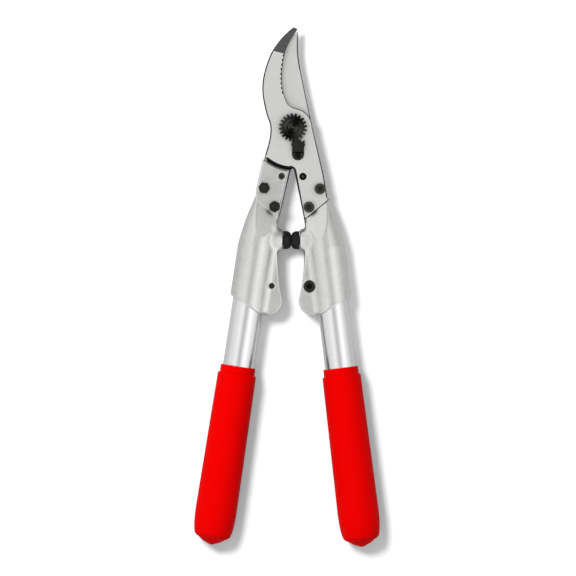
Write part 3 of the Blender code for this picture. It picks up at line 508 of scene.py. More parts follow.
def make_counter_blade():
    back = through(HOOK_BACK)
    tip = [Vector(point) for point in (HOOK_BACK[-1], *HOOK_TIP)]
    mouth = through(HOOK_MOUTH)
    outline = [Vector((-x, y)) for x, y in (*back, *tip, *mouth, *shank(HOOK_SHOULDER_START, back[0]))]
    low = PIVOT_LEVEL + SEAT
    high = low + HOOK_THICKNESS
    bm = stacked(rim_rings(outline, low, 1, hook_rim) + rim_rings(outline, high, -1, hook_rim)[::-1])
    start, end = (Vector(point).to_3d() for point in TIP_LINE)
    beyond = Vector((start.y - end.y, end.x - start.x, 0)).normalized()
    bmesh.ops.bisect_plane(bm, geom=[*bm.verts, *bm.edges, *bm.faces], plane_co=start, plane_no=beyond)
    for vert in bm.verts:
        distance = (vert.co - start).dot(beyond)
        if distance > 0 and vert.co.z > low + HOOK_THICKNESS / 2:
            vert.co.z -= TIP_SLOPE * distance
    bm.normal_update()
    for face in bm.faces:
        if face.normal.z > TIP_FACES_UP and (face.calc_center_median() - start).dot(beyond) > 0:
            face.material_index = 2
    made = thing("ground_counter_blade", bm, (satin_steel, flank_scale_and_shade, blued_tip))
    carve(made, blade_holes(-1), slot=1)
    (foot_wider, foot_higher), (top_wider, top_higher) = COUNTERSINK_FOOT, COUNTERSINK_TOP
    countersink = drill(
        bmesh.new(),
        (-PIN_PLACE[0], PIN_PLACE[1]),
        PIN_HOLE_RADIUS + foot_wider,
        high + foot_higher,
        high + top_higher,
        top_radius=PIN_HOLE_RADIUS + top_wider,
    )
    carve(made, countersink, slot=1)
    grooves = bmesh.new()
    travelled, wanted = 0.0, FIRST_GROOVE
    for near, far in zip(mouth, mouth[1:]):
        length = (far - near).length
        while travelled <= wanted < travelled + length and wanted < FIRST_GROOVE + GROOVES * GROOVE_PITCH:
            at = near.lerp(far, (wanted - travelled) / length)
            drill(grooves, (-at.x, at.y), GROOVE_RADIUS, low + GROOVE_FLOOR, 2 * PIVOT_LEVEL, 20)
            wanted += GROOVE_PITCH
        travelled += length
    carve(made, grooves, slot=1)
    dress(made, "counter_half", "counter_blade")


make_counter_blade()


# The cutting blade is a curved steel blade behind the hook. It is flat where it slides on the
# counter-blade and ground to a thin edge on its back, and is bolted to the left handle head. A ring of
# painted shade darkens its sliding face along the hub's rim, where it shows in the gap between the
# counter-blade's hub and the left tongue.
KNIFE_THICKNESS = 4.5
KNIFE_BACK = (
    (20.6, -23.4),
    (14.6, 0.5),
    (12.8, 9.9),
    (8.4, 29.2),
    (4.4, 48.4),
    (2.9, 60.0),
    (2.9, 70.5),
)
KNIFE_EDGE = (
    (2.5, 74.6),
    (-4.9, 66.2),
    (-8.8, 56.0),
    (-10.7, 43.6),
    (-10.7, 30.0),
    (-10.0, 20.0),
    (-10.6, 12.0),
)
KNIFE_SHOULDER_START = 140
KNIFE_WAIST = ((-21.9, -25.0),)
KNIFE_BEVEL = 7.0
KNIFE_BEVEL_SHARE = 0.7
KNIFE_BEVEL_SLOPES = (-0.95, -0.2)
KNIFE_BEVEL_LEAST_FACE = 0.5
KNIFE_LAND = 0.15
KNIFE_RIMS = (
    (-FAR, FAR, 73, FAR, EDGE_RIM),
    (-FAR, 2.2, 11, FAR, EDGE_RIM),
    (-FAR, FAR, 45, FAR, 0.85),
    (-11, -1, -71, -27, WIDE_RIM),
)

# Where the painted gap shade sets in and where it is full, outwards, inwards, down, to the right and up
GAP_SHADE_INNER = (30.4, 30.6)
GAP_SHADE_OUTER = (33.7, 32.6)
GAP_SHADE_TOP = (0.0, -1.0)
GAP_SHADE_LEFT = (-20.4, -19.4)
GAP_SHADE_LEVEL = (PIVOT_LEVEL - 0.5, PIVOT_LEVEL - 0.4)
GAP_SHADE_COLOUR = (0.012, 0.012, 0.011, 1)


# Paints the shade of the narrow gap between the counter-blade's hub and the left tongue as a dark ring on
# the sliding face.
def paint_gap_shade(material):
    tree = material.node_tree
    place = node(tree, "ShaderNodeTexCoord").outputs["Object"]
    parts = node(tree, "ShaderNodeSeparateXYZ", {0: place}).outputs
    flat = node(tree, "ShaderNodeCombineXYZ", {"X": parts["X"], "Y": parts["Y"]}).outputs[0]
    away = node(tree, "ShaderNodeVectorMath", {0: flat}, operation="LENGTH").outputs["Value"]
    share = 1.0
    for value, (start, full) in (
        (away, GAP_SHADE_INNER),
        (away, GAP_SHADE_OUTER),
        (parts["Y"], GAP_SHADE_TOP),
        (parts["X"], GAP_SHADE_LEFT),
        (parts["Z"], GAP_SHADE_LEVEL),
    ):
        share = maths(tree, "MULTIPLY", share, mapped(tree, value, start * MM, full * MM))
    base = tree.nodes["Principled BSDF"].inputs["Base Color"]
    tree.links.new(blended(tree, share, base.links[0].from_socket, GAP_SHADE_COLOUR), base)


satin_steel_with_gap_shade = satin_steel.copy()
satin_steel_with_gap_shade.name = "satin_steel_with_painted_gap_shade"
paint_gap_shade(satin_steel_with_gap_shade)
honed_bevel = finish_material(
    "honed_blade_bevel",
    (0.7, 0.7, 0.7),
    1.0,
    0.24,
    grain=(1.6, 0.12, 1.0),
    grain_depth=0.16,
    mottle_depth=0.03,
    bump=0.006,
    turn=math.radians(70),
)


def knife_rim(point):
    return rim_width(point, KNIFE_RIMS)


def make_cutting_blade():
    back = through(KNIFE_BACK)
    edge = through(KNIFE_EDGE)
    outline = [*back, Vector(KNIFE_BACK[-1]), *edge, *shank(KNIFE_SHOULDER_START, back[0], KNIFE_WAIST)]
    ground = list(outline)
    first = len(back) + 1
    for i in range(1, len(edge)):
        at = outline[first + i]
        run = (outline[first + i + 1] - outline[first + i - 1]).normalized()
        inward = KNIFE_BEVEL * math.sqrt(math.sin(math.pi * i / len(edge)))
        inward = min(inward, KNIFE_BEVEL_SHARE * (KNIFE_BACK[-1][0] - at.x))
        ground[first + i] = at + Vector((-run.y, run.x)) * inward
    high = PIVOT_LEVEL - SEAT
    front = rim_rings(outline, high, -1, knife_rim)
    land = [corner - Vector((0, 0, KNIFE_LAND)) for corner in front[-1]]
    bm = stacked([*rim_rings(ground, high - KNIFE_THICKNESS, 1, knife_rim), land, *front[::-1]])
    steepest, flattest = KNIFE_BEVEL_SLOPES
    for face in bm.faces:
        if steepest < face.normal.z < flattest and face.calc_area() > KNIFE_BEVEL_LEAST_FACE:
            face.material_index = 2
    made = thing("ground_cutting_blade", bm, (satin_steel_with_gap_shade, flank_scale_and_shade, honed_bevel))
    carve(made, blade_holes(1), slot=1)
    dress(made, "cutting_half", "cutting_blade")


make_cutting_blade()


# The two handle heads are one aluminium forging used twice, the right one turned over. Each has a flat
# tongue for its blade, a neck that swells into the tube's sleeve, a slit clamp ear and a bumper boss.
# The forging is blasted, so its corners are soft and its skin finely pitted.
HANDLE_SPLAY = math.radians(7.83)
SPLAY_SINE = math.sin(HANDLE_SPLAY)
SPLAY_COSINE = math.cos(HANDLE_SPLAY)
AXIS_OFFSET = 14.1
FORGING_VOXEL = 0.5
SLEEVE_RADIUS = 14.5
NECK_ROOT = Vector((-18.55, -57.0))
NECK_LENGTH = 93.0
NECK_ROOT_SIZE = Vector((11.25, 8.5))
NECK_BULGE = 0.3
FACET_SAG = 0.08
TONGUE_OUTER = (Vector((-22.9, -23.6)), Vector((-28.4, -50.0)))
TONGUE_INNER = (Vector((-10.6, -70.2)), Vector((-1.8, -28.1)))
TONGUE_MIDDLE = 2.65
TONGUE_HALF = 2.5
TONGUE_SKIN = 0.3
TONGUE_ROUND = 1.8
TONGUE_ARC = 33.5
ARC_ROUND = 1.1
INNER_TRIM = 0.8
INNER_TRIM_REACH = 2.0
OUTER_TRIM = 2.0
OUTER_TRIM_REACH = 3.5
OUTER_TRIM_BELOW = 7
TRIM_RUN_OUT = 5
SHOULDER_LEVEL = 5.15
RAMP_LENGTH = 21.9
RAMP_CROWN = 0.3
RAMP_BAND = 0.2
CLAMP_PLACE = (121.4, 16.34)
CLAMP_TIGHTENED = 0.3
CLAMP_CORE = 1.5
CLAMP_POCKET = 4.9
CLAMP_FADE = 1.2
EAR_FRONT = 6.5
EAR_ROOT = ((74, 150), (10.5, 18.5), (4.5, 11.5))
BOSS_AXIS_Y = -87.0
BOSS_RADIUS = 8.85
BOSS_FACE_X = -6.55
BOSS_SKIRT = (
    (4.2, -9.5),
    (10.2, -9.5),
    (9.3, -2.9),
    (8.95, -1.7),
    (8.3, -0.8),
    (7.3, -0.15),
    (4.2, -0.15),
)
BOSS_ROOT_X = (-16, -8.2)
BOSS_ROOT_RADIUS = (BOSS_RADIUS - 3.5, BOSS_RADIUS + 5)
EAR_FILLET_ROUNDS = 14
BOSS_FILLET_ROUNDS = 25
SKIN_ROUNDS = 3
FULL_WEAR_BEND = 0.12

blasted_aluminium = finish_material(
    "blasted_forging",
    (0.74, 0.74, 0.725),
    1.0,
    0.36,
    spread=0.16,
    grain=(0.9, 0.9, 0.9),
    grain_depth=0.4,
    mottle=160.0,
    mottle_depth=0.2,
    bump=0.035,
    wear_and_highlight=((0.9, 0.9, 0.88), 0.8),
)
HALVES = {
    "left": Matrix.Translation((0, 0, PIVOT_LEVEL * MM)),
    "right": Matrix.Translation((0, 0, PIVOT_LEVEL * MM)) @ Matrix.Rotation(math.pi, 4, "Y"),
}
BODIES = {"left": "cutting_half", "right": "counter_half"}
ACROSS = Matrix.Rotation(math.pi / 2, 4, "Y")


def turned(profile, steps=48):
    """A profile of (radius, height) spun about Z, from axis to axis or as a closed ring."""
    bm = bmesh.new()
    row = [bm.verts.new((radius, 0, height)) for radius, height in profile]
    pairs = [pair for pair in zip(row, row[1:] + row[:1]) if pair[0].co.x + pair[1].co.x > 0]
    edges = [bm.edges.new(pair) for pair in pairs]
    bmesh.ops.spin(
        bm, geom=row + edges, axis=(0, 0, 1), cent=(0, 0, 0), angle=math.tau, steps=steps, use_merge=True
    )
    bmesh.ops.remove_doubles(bm, verts=bm.verts, dist=1e-4)
    bmesh.ops.recalc_face_normals(bm, faces=bm.faces)
    return bm


def put(made, side, centre, height=0.0, lay=Matrix()):
    """Lays a piece that is made about Z, moves it to its place in a half, and the half to its place."""
    made.data.transform(HALVES[side] @ Matrix.Translation(Vector((*centre, height)) * MM) @ lay)


def along_tube(point):
    """A half's point as (along its tube, across towards the middle, height)."""
    x = point.x + AXIS_OFFSET
    return -SPLAY_SINE * x - SPLAY_COSINE * point.y, SPLAY_COSINE * x - SPLAY_SINE * point.y, point.z


def on_axis(along, across):
    """The plan point that lies so far along its tube and across it."""
    x = -AXIS_OFFSET - SPLAY_SINE * along + SPLAY_COSINE * across
    return Vector((x, -SPLAY_COSINE * along - SPLAY_SINE * across))


def neck_section(flat):
    """The neck's section at a plan point: how far along it is, across it, and its half width and depth."""
    neck_end = on_axis(NECK_LENGTH, 0)
    s = (NECK_ROOT.y - flat.y) / (NECK_ROOT.y - neck_end.y)
    for _ in range(3):
        eased_s = s * (1 + NECK_BULGE * (1 - s))
        centre = Vector((NECK_ROOT.x + (neck_end.x - NECK_ROOT.x) * eased_s, NECK_ROOT.y))
        centre.y += (neck_end.y - NECK_ROOT.y) * s
        tilt = s * HANDLE_SPLAY
        sideways = Vector((math.cos(tilt), -math.sin(tilt)))
        s -= (flat - centre).cross(sideways) / (NECK_ROOT.y - neck_end.y)
    size = NECK_ROOT_SIZE.lerp(Vector((SLEEVE_RADIUS, SLEEVE_RADIUS)), eased_s)
    return s, (flat - centre).dot(sideways), sideways, size


def true_skin(point):
    """The place on the true round of the neck or sleeve for a point that lies on one of its flat steps."""
    along, across, height = along_tube(point)
    if along > NECK_LENGTH:
        stretch = SLEEVE_RADIUS / max(1.0, math.hypot(across, height))
        if abs(stretch - 1) * SLEEVE_RADIUS > FACET_SAG:
            return point
        return Vector((*on_axis(along, across * stretch), height * stretch))
    s, across, sideways, size = neck_section(point.xy)
    if not 0 < s < 1:
        return point
    stretch = 1 / max(0.1, math.hypot(across / size.x, height / size.y))
    if abs(stretch - 1) * size.y > FACET_SAG:
        return point
    return Vector((*(point.xy + sideways * across * (stretch - 1)), height * stretch))


def crowned_ramp(point):
    """Raises a point of one of the two inclined facets on to their slight crown, but not out of the neck."""
    run = (SHANK_INNER_END - SHANK_OUTER_END).normalized()
    flat, height = point.xy, abs(point.z)
    down = (flat - SHANK_OUTER_END).dot(Vector((run.y, -run.x))) - CLEARANCE
    t = down / RAMP_LENGTH
    level = SHOULDER_LEVEL + (SLEEVE_RADIUS - SHOULDER_LEVEL) * t
    if not 0 < t < 1 or abs(height - level) > RAMP_BAND:
        return point
    raised = height + 4 * RAMP_CROWN * t * (1 - t)
    s, across, _, size = neck_section(flat)
    if s > 0:
        skin = size.y * math.sqrt(max(0.0, 1 - (across / size.x) ** 2))
        raised = min(raised, max(height, skin))
    return Vector((*flat, math.copysign(raised, point.z)))


def rolled(inside, height, radius):
    """Rolls a corner of the tongue round, given how far inside its edge and off its middle a point is."""
    a, b = radius - inside, height - (TONGUE_HALF - radius)
    if a <= 0 or b <= 0:
        return inside, height
    stretch = radius / max(0.01, math.hypot(a, b))
    return radius - a * stretch, TONGUE_HALF - radius + b * stretch


def within(flat, line):
    """How far a plan point lies inside a straight edge of the tongue, and the way inwards."""
    run = (line[1] - line[0]).normalized()
    inwards = Vector((-run.y, run.x))
    return (flat - line[0]).dot(inwards), inwards


def rounded_tongue(point):
    """Rolls the tongue's outer edge and its edge round the hub."""
    flat, height = point.xy, point.z - TONGUE_MIDDLE
    if abs(height) > TONGUE_HALF + TONGUE_SKIN or flat.y < TONGUE_OUTER[1].y:
        return point
    edges = (
        (*within(flat, TONGUE_OUTER), TONGUE_ROUND),
        (flat.length - TONGUE_ARC, flat.normalized(), ARC_ROUND),
    )
    for inside, way, radius in edges:
        moved, lifted = rolled(inside, abs(height), radius)
        flat = flat + way * (moved - inside)
        height = math.copysign(lifted, height)
    return Vector((*flat, height + TONGUE_MIDDLE))


def trimmed_edge(point, line, depth, reach, foot):
    """Draws an edge of the tongue in, most at the edge itself and not at all below the foot."""
    if abs(point.z - TONGUE_MIDDLE) > TONGUE_HALF + TONGUE_SKIN or point.y < foot:
        return point
    inside, inwards = within(point.xy, line)
    share = max(0.0, 1 - max(0.0, inside) / reach) * min(1.0, (point.y - foot) / TRIM_RUN_OUT)
    return Vector((*(point.xy + inwards * depth * share), point.z))


def tightened_clamp(point):
    """Draws the walls of the clamp bolt's hole and pocket closer to the bolt."""
    centre = on_axis(*CLAMP_PLACE)
    arm = point.xy - centre
    away = arm.length
    fade = max(0.0, 1 - max(0.0, away - CLAMP_POCKET) / CLAMP_FADE)
    if away < CLAMP_CORE or fade <= 0:
        return point
    return Vector((*(centre + arm * (1 - CLAMP_TIGHTENED * fade / away)), point.z))


def mark_edges(mesh):
    """Stores how sharply the surface turns outwards at each point, for the wear."""
    bm = bmesh.new()
    bm.from_mesh(mesh)
    marks = []
    for vert in bm.verts:
        offset = Vector()
        for edge in vert.link_edges:
            offset += edge.other_vert(vert).co - vert.co
        bend = -offset.dot(vert.normal) / max(1, len(vert.link_edges))
        marks.append(min(1.0, max(0.0, bend / FULL_WEAR_BEND)))
    bm.free()
    mesh.attributes.new("edge", "FLOAT", "POINT").data.foreach_set("value", marks)


def near_ear_root(vert):
    along, across, height = along_tube(vert.co)
    return all(low < value < high for value, (low, high) in zip((along, across, abs(height)), EAR_ROOT))


def near_boss_root(vert):
    away = math.hypot(vert.co.y - BOSS_AXIS_Y, vert.co.z)
    return BOSS_ROOT_X[0] < vert.co.x < BOSS_ROOT_X[1] and BOSS_ROOT_RADIUS[0] < away < BOSS_ROOT_RADIUS[1]


def make_heads():
    skirt = thing("boss_skirt", turned(BOSS_SKIRT), ())
    put(skirt, "left", (BOSS_FACE_X, BOSS_AXIS_Y), lay=ACROSS)
    bm = bmesh.new()
    bm.from_mesh(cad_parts["left_handle_head"].data)
    bmesh.ops.remove_doubles(bm, verts=bm.verts, dist=1e-6)
    bm.from_mesh(skirt.data)
    bpy.data.objects.remove(skirt, do_unlink=True)
    forging = thing("forged_head_left", bm, (blasted_aluminium,), unit=1.0)
    remesh = forging.modifiers.new("even_skin", "REMESH")
    remesh.mode = "VOXEL"
    remesh.voxel_size = FORGING_VOXEL * MM
    settle(forging)
    bm = bmesh.new()
    bm.from_mesh(forging.data)
    bm.transform(Matrix.Scale(1 / MM, 4) @ HALVES["left"].inverted())
    for vert in bm.verts:
        vert.co = rounded_tongue(crowned_ramp(true_skin(vert.co)))
    for verts, rounds in (
        ([vert for vert in bm.verts if near_ear_root(vert)], EAR_FILLET_ROUNDS),
        ([vert for vert in bm.verts if near_boss_root(vert)], BOSS_FILLET_ROUNDS),
        (list(bm.verts), SKIN_ROUNDS),
    ):
        for _ in range(rounds):
            bmesh.ops.smooth_vert(
                bm, verts=verts, factor=0.5, use_axis_x=True, use_axis_y=True, use_axis_z=True
            )
    for vert in bm.verts:
        vert.co = tightened_clamp(vert.co)
    bm.to_mesh(forging.data)
    bm.free()
    forging.data.shade_smooth()
    mark_edges(forging.data)
    turned_over = bpy.data.objects.new("forged_head_right", forging.data.copy())
    bpy.context.scene.collection.objects.link(turned_over)
    inner_trim = (TONGUE_INNER, INNER_TRIM, INNER_TRIM_REACH, TONGUE_INNER[0].y)
    outer_trim = (TONGUE_OUTER, OUTER_TRIM, OUTER_TRIM_REACH, TONGUE_OUTER[1].y - OUTER_TRIM_BELOW)
    for side, made, trim in (("left", forging, inner_trim), ("right", turned_over, outer_trim)):
        for vert in made.data.vertices:
            vert.co = trimmed_edge(vert.co, *trim)
        made.data.transform(HALVES[side] @ Matrix.Scale(MM, 4))
        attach(made, BODIES[side])
        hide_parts(side + "_handle_head")


make_heads()


# A black dowel pin lines each blade up with its tongue. It is pressed in from the front and ends a
# little below the surface, with a turning centre in each end.
PIN_RADIUS = 2.42
PIN_RECESS = 0.5
PIN_CHAMFER = 0.35
PIN_CENTRE_RADIUS = 0.9
PIN_CENTRE_DEPTH = 0.7
CHAMFER_SLOPES = (0.15, 0.97)
TONGUE_THICKNESS = 5.0
THICKNESSES = {"left": 4.5, "right": 5.0}
BLADES = {"left": "cutting_blade", "right": "counter_blade"}
BLACKENED = {"spread": 0.2, "grain_depth": 0.5, "mottle": 260.0, "mottle_depth": 0.4, "bump": 0.006}

black_fastener = finish_material(
    "blackened_fastener", (0.026, 0.0265, 0.0225), 0.7, 0.38, wear_and_highlight=((0.08, 0.08, 0.07), 1.0), **BLACKENED
)
worn_fastener = finish_material("worn_black_fastener", (0.06, 0.062, 0.05), 0.7, 0.38, **BLACKENED)
# Near-black with almost no shine, as painted shade in hollows: clamp bolt sockets, the pins' sunk ends, the
# segment's groove and pocket, and the segment screw.
recess_shade_black = finish_material(
    "painted_recess_shade", (0.004, 0.004, 0.0035), 0.0, 0.6, grain_depth=0.5, mottle_depth=0.4, specular=0.1
)


def mark_chamfer_wear_and_highlights(mesh):
    """Stores which faces are neither flat nor upright. Handling rubs those bright first, and their lighter
    colour also paints highlight along the chamfers.
    """
    least, most = CHAMFER_SLOPES
    marks = [1.0 if least < abs(face.normal.z) < most else 0.0 for face in mesh.polygons]
    mesh.attributes.new("edge", "FLOAT", "FACE").data.foreach_set("value", marks)


def dress_fastener(made, body, node):
    mark_chamfer_wear_and_highlights(made.data)
    dress(made, body, node)


def make_pin(side):
    low = -SEAT - THICKNESSES[side] + PIN_RECESS
    high = SEAT + TONGUE_THICKNESS - PIN_RECESS
    profile = []
    for level, inward in ((low, 1), (high, -1)):
        rim = [
            (0, level + PIN_CENTRE_DEPTH * inward),
            (PIN_CENTRE_RADIUS, level),
            (PIN_RADIUS - PIN_CHAMFER, level),
            (PIN_RADIUS, level + PIN_CHAMFER * inward),
        ]
        profile += rim if inward > 0 else rim[::-1]
    bm = turned(profile)
    for face in bm.faces:
        face.material_index = int(face.calc_center_median().xy.length < PIN_CENTRE_RADIUS + 0.05)
    # The near-black is painted shade: in the left pin's turning centre, and on the right pin round its rim
    # where it sits sunk.
    finishes = (worn_fastener, recess_shade_black) if side == "left" else (recess_shade_black, worn_fastener)
    made = thing("dowel_" + side, bm, finishes)
    put(made, side, PIN_PLACE)
    dress_fastener(made, BODIES[side], BLADES[side] + "_pin")


for side in HALVES:
    make_pin(side)


# Two M5 socket-head bolts clamp each blade to its tongue. Their knurled heads bear on the blade and a
# hexagon nut closes each on the tongue, so the right handle shows heads and the left one nuts.
BOLT_RADIUS = 2.5
BOLT_END_CHAMFER = 0.5
THREAD_PITCH = 0.8
THREAD_DEPTH = 0.4
THREADED_SHARE = 0.55
BOLT_HEAD_RADIUS = 4.25
BOLT_HEAD_HEIGHT = 3.5
BOLT_HEAD_RIM = 0.35
KNURLS = 36
KNURL_DEPTH = 0.16
SOCKET_ACROSS_FLATS = 4.0
SOCKET_DEPTH = 2.0
SOCKET_FLOOR = 0.8
SOCKET_TURN = 0.3
SOCKET_MOUTH_RADII = (3.0, 1.6)
SOCKET_MOUTH_HEIGHTS = (-0.65, 0.75)
NUT_ACROSS_FLATS = 8.0
NUT_HEIGHT = 4.0
NUT_CHAMFER = 0.38
NUT_HOLE_RADIUS = BOLT_RADIUS + 0.08
NUT_HOLE_MOUTH = BOLT_RADIUS + 0.6
NUT_TURNS = {"upper": math.radians(-7), "lower": math.radians(34)}


def hex_prism(across_flats, low, high, turn=0.0):
    bm = drill(bmesh.new(), (0, 0), across_flats / math.sqrt(3), low, high, 6)
    bm.transform(Matrix.Rotation(turn + math.pi / 2, 4, "Z"))
    return bm


def thread(radius, depth, pitch, start, turns):
    """The zigzag of a thread in a turned profile."""
    points = []
    for i in range(turns):
        points += [(radius, start + i * pitch), (radius - depth, start + (i + 0.5) * pitch)]
    return points


def make_bolt(name, side, centre, seat, length, head, body_node, finishes, radius=BOLT_RADIUS):
    """A socket bolt whose head bears on the seat and whose thread points to the half's +Z."""
    turns = int(THREADED_SHARE * length / THREAD_PITCH)
    chamfer = length - BOLT_END_CHAMFER
    profile = [
        (0, -head),
        (BOLT_HEAD_RADIUS - BOLT_HEAD_RIM, -head),
        (BOLT_HEAD_RADIUS - 0.1, 0.3 * BOLT_HEAD_RIM - head),
        (BOLT_HEAD_RADIUS, BOLT_HEAD_RIM - head),
        (BOLT_HEAD_RADIUS, -0.45),
        (BOLT_HEAD_RADIUS - 0.15, -0.2),
        (BOLT_HEAD_RADIUS - 0.3, 0),
        (radius, 0),
        *thread(radius, THREAD_DEPTH, THREAD_PITCH, chamfer - turns * THREAD_PITCH, turns),
        (radius, chamfer),
        (radius - BOLT_END_CHAMFER, length),
        (0, length),
    ]
    bm = turned(profile, 2 * KNURLS)
    for vert in bm.verts:
        step = round(math.atan2(vert.co.y, vert.co.x) / math.tau * 2 * KNURLS)
        if step % 2 and vert.co.xy.length > BOLT_HEAD_RADIUS - 0.05:
            vert.co.xy = vert.co.xy * (1 - KNURL_DEPTH / BOLT_HEAD_RADIUS)
    made = thing(name, bm, finishes)
    socket_floor = min(SOCKET_DEPTH, head - SOCKET_FLOOR) - head
    # The socket takes the second finish, a darker black that paints the shade inside it.
    carve(made, hex_prism(SOCKET_ACROSS_FLATS, -2 * head, socket_floor, SOCKET_TURN), slot=1)
    (wide, narrow), (outside, inside) = SOCKET_MOUTH_RADII, SOCKET_MOUTH_HEIGHTS
    carve(made, drill(bmesh.new(), (0, 0), wide, outside - head, inside - head, 48, top_radius=narrow))
    put(made, side, centre, seat)
    dress_fastener(made, BODIES[side], body_node)


def make_nut(name, side, centre, turn, body_node):
    face = NUT_ACROSS_FLATS / 2 - 0.1
    corner = NUT_ACROSS_FLATS / math.sqrt(3) + 0.05
    crown = (
        (0, 0),
        (face, 0),
        (corner, NUT_CHAMFER),
        (corner, NUT_HEIGHT - NUT_CHAMFER),
        (face, NUT_HEIGHT),
        (0, NUT_HEIGHT),
    )
    bore = [(0, -1), (NUT_HOLE_MOUTH, -1), (NUT_HOLE_MOUTH, 0), (NUT_HOLE_RADIUS, 0.5)]
    bore += [(radius, NUT_HEIGHT - height) for radius, height in bore[::-1]]
    made = thing(name, hex_prism(NUT_ACROSS_FLATS, 0, NUT_HEIGHT, turn), (black_fastener,))
    carve(made, turned(crown), "INTERSECT")
    carve(made, turned(bore))
    put(made, side, centre, SEAT + TONGUE_THICKNESS + CLEARANCE)
    dress_fastener(made, BODIES[side], body_node)


def make_blade_bolts(side):
    seat = -SEAT - THICKNESSES[side] - CLEARANCE
    length = SEAT + TONGUE_THICKNESS + 2 * CLEARANCE + NUT_HEIGHT - seat
    for where, centre in BLADE_BOLTS.items():
        fixed = f"{BLADES[side]}_bolt_{where}"
        name = f"socket_bolt_{side}_{where}"
        # On the right heads the socket takes the darker black, as painted shade; on the left both finishes
        # are alike.
        finishes = (worn_fastener if side == "right" else black_fastener, black_fastener)
        make_bolt(name, side, centre, seat, length, BOLT_HEAD_HEIGHT, fixed, finishes)
        name = f"hexagon_nut_{side}_{where}"
        make_nut(name, side, centre, NUT_TURNS[where], f"{BLADES[side]}_nut_{where}")


for side in HALVES:
    make_blade_bolts(side)


# The pivot is a shouldered black bolt. Its wide head lies at the back, its plain shank carries both
# blades, and its end shows in the middle of the nut with a turning centre in its face.
PIVOT_HEAD_RADIUS = 9.5
PIVOT_HEAD_HEIGHT = 4.2
PIVOT_SHANK_RADIUS = 5.0
PIVOT_SHANK_SINK = 1.0
PIVOT_THREAD_RADIUS = 4.0
PIVOT_THREAD_DEPTH = 0.5
PIVOT_THREAD_PITCH = 1.0
PIVOT_END = 0.8
PIVOT_PLAIN_LENGTH = 1.2
PIVOT_DISH_RADIUS = 5.2
PIVOT_DISH_DEPTH = 0.4
PIVOT_CENTRE_RADIUS = 1.15
PIVOT_CENTRE_DEPTH = 1.1
COUNTER_FRONT = PIVOT_LEVEL + SEAT + HOOK_THICKNESS
NUT_DISC = 4.0
NUT_COLLAR = 1.4

black_steel = finish_material(
    "blackened_steel", (0.021, 0.0212, 0.0185), 0.7, 0.36, wear_and_highlight=((0.07, 0.07, 0.064), 1.0), **BLACKENED
)
# Black steel for the pivot bolt and the toothed nut, with the sheen of its turned faces painted in as dark
# wedges.
turned_steel_painted_sheen = finish_material(
    "turned_black_steel_with_painted_sheen",
    (0.022, 0.022, 0.0205),
    0.9,
    0.33,
    wear_and_highlight=((0.07, 0.07, 0.065), 1.0),
    rings=(0.35, 0.02),
    painted_sheen_wedge=(math.radians(62), 0.92),
    **{**BLACKENED, "mottle_depth": 0.6},
)


def make_pivot_bolt():
    end = COUNTER_FRONT + CLEARANCE + NUT_DISC + NUT_COLLAR + PIVOT_END
    shank_end = COUNTER_FRONT - PIVOT_SHANK_SINK
    turns = int((end - shank_end - PIVOT_PLAIN_LENGTH) / PIVOT_THREAD_PITCH)
    profile = [
        (0, PIVOT_DISH_DEPTH),
        (PIVOT_DISH_RADIUS, PIVOT_DISH_DEPTH),
        (PIVOT_DISH_RADIUS + PIVOT_DISH_DEPTH, 0),
        (PIVOT_HEAD_RADIUS - 0.8, 0),
        (PIVOT_HEAD_RADIUS - 0.2, 0.25),
        (PIVOT_HEAD_RADIUS, 0.8),
        (PIVOT_HEAD_RADIUS, PIVOT_HEAD_HEIGHT - 0.3),
        (PIVOT_HEAD_RADIUS - 0.3, PIVOT_HEAD_HEIGHT),
        (PIVOT_SHANK_RADIUS, PIVOT_HEAD_HEIGHT),
        (PIVOT_SHANK_RADIUS, shank_end - 0.4),
        (PIVOT_SHANK_RADIUS - 0.4, shank_end),
        (PIVOT_THREAD_RADIUS, shank_end),
        *thread(PIVOT_THREAD_RADIUS, PIVOT_THREAD_DEPTH, PIVOT_THREAD_PITCH, shank_end + 0.4, turns),
        (PIVOT_THREAD_RADIUS, end - 0.7),
        (PIVOT_THREAD_RADIUS - 0.2, end - 0.25),
        (PIVOT_THREAD_RADIUS - 0.7, end),
        (PIVOT_CENTRE_RADIUS, end),
        (0, end - PIVOT_CENTRE_DEPTH),
    ]
    made = thing("pivot_bolt_turned", turned(profile, 64), (turned_steel_painted_sheen,))
    dress_fastener(made, "counter_half", "pivot_bolt")


make_pivot_bolt()


# The toothed nut sets how tightly the blades rub. It is a black steel disc with twenty trapezoid teeth
# round its rim and a low collar in the middle.
NUT_TEETH = 20
TOOTH_PHASE = 6.4
TOOTH_TIP_RADIUS = 11.0
TOOTH_ROOT_RADIUS = 8.9
TOOTH = (
    (TOOTH_ROOT_RADIUS, -0.34),
    (TOOTH_TIP_RADIUS - 0.35, -0.21),
    (TOOTH_TIP_RADIUS, -0.12),
    (TOOTH_TIP_RADIUS, 0.12),
    (TOOTH_TIP_RADIUS - 0.35, 0.21),
    (TOOTH_ROOT_RADIUS, 0.34),
)
TOOTH_BEVEL = 0.3
NUT_COLLAR_RADIUS = 6.2
NUT_BORE_RADIUS = PIVOT_THREAD_RADIUS + 0.12
NUT_BORE_MOUTH = PIVOT_THREAD_RADIUS + 0.45


def plate(outline, low, high):
    """An outline filled as one face and extruded between two heights."""
    bm = bmesh.new()
    base = bm.faces.new([bm.verts.new((x, y, low)) for x, y in outline])
    raised = bmesh.ops.extrude_face_region(bm, geom=[base])["geom"]
    top = [item for item in raised if isinstance(item, bmesh.types.BMVert)]
    bmesh.ops.translate(bm, verts=top, vec=(0, 0, high - low))
    bmesh.ops.recalc_face_normals(bm, faces=bm.faces)
    return bm


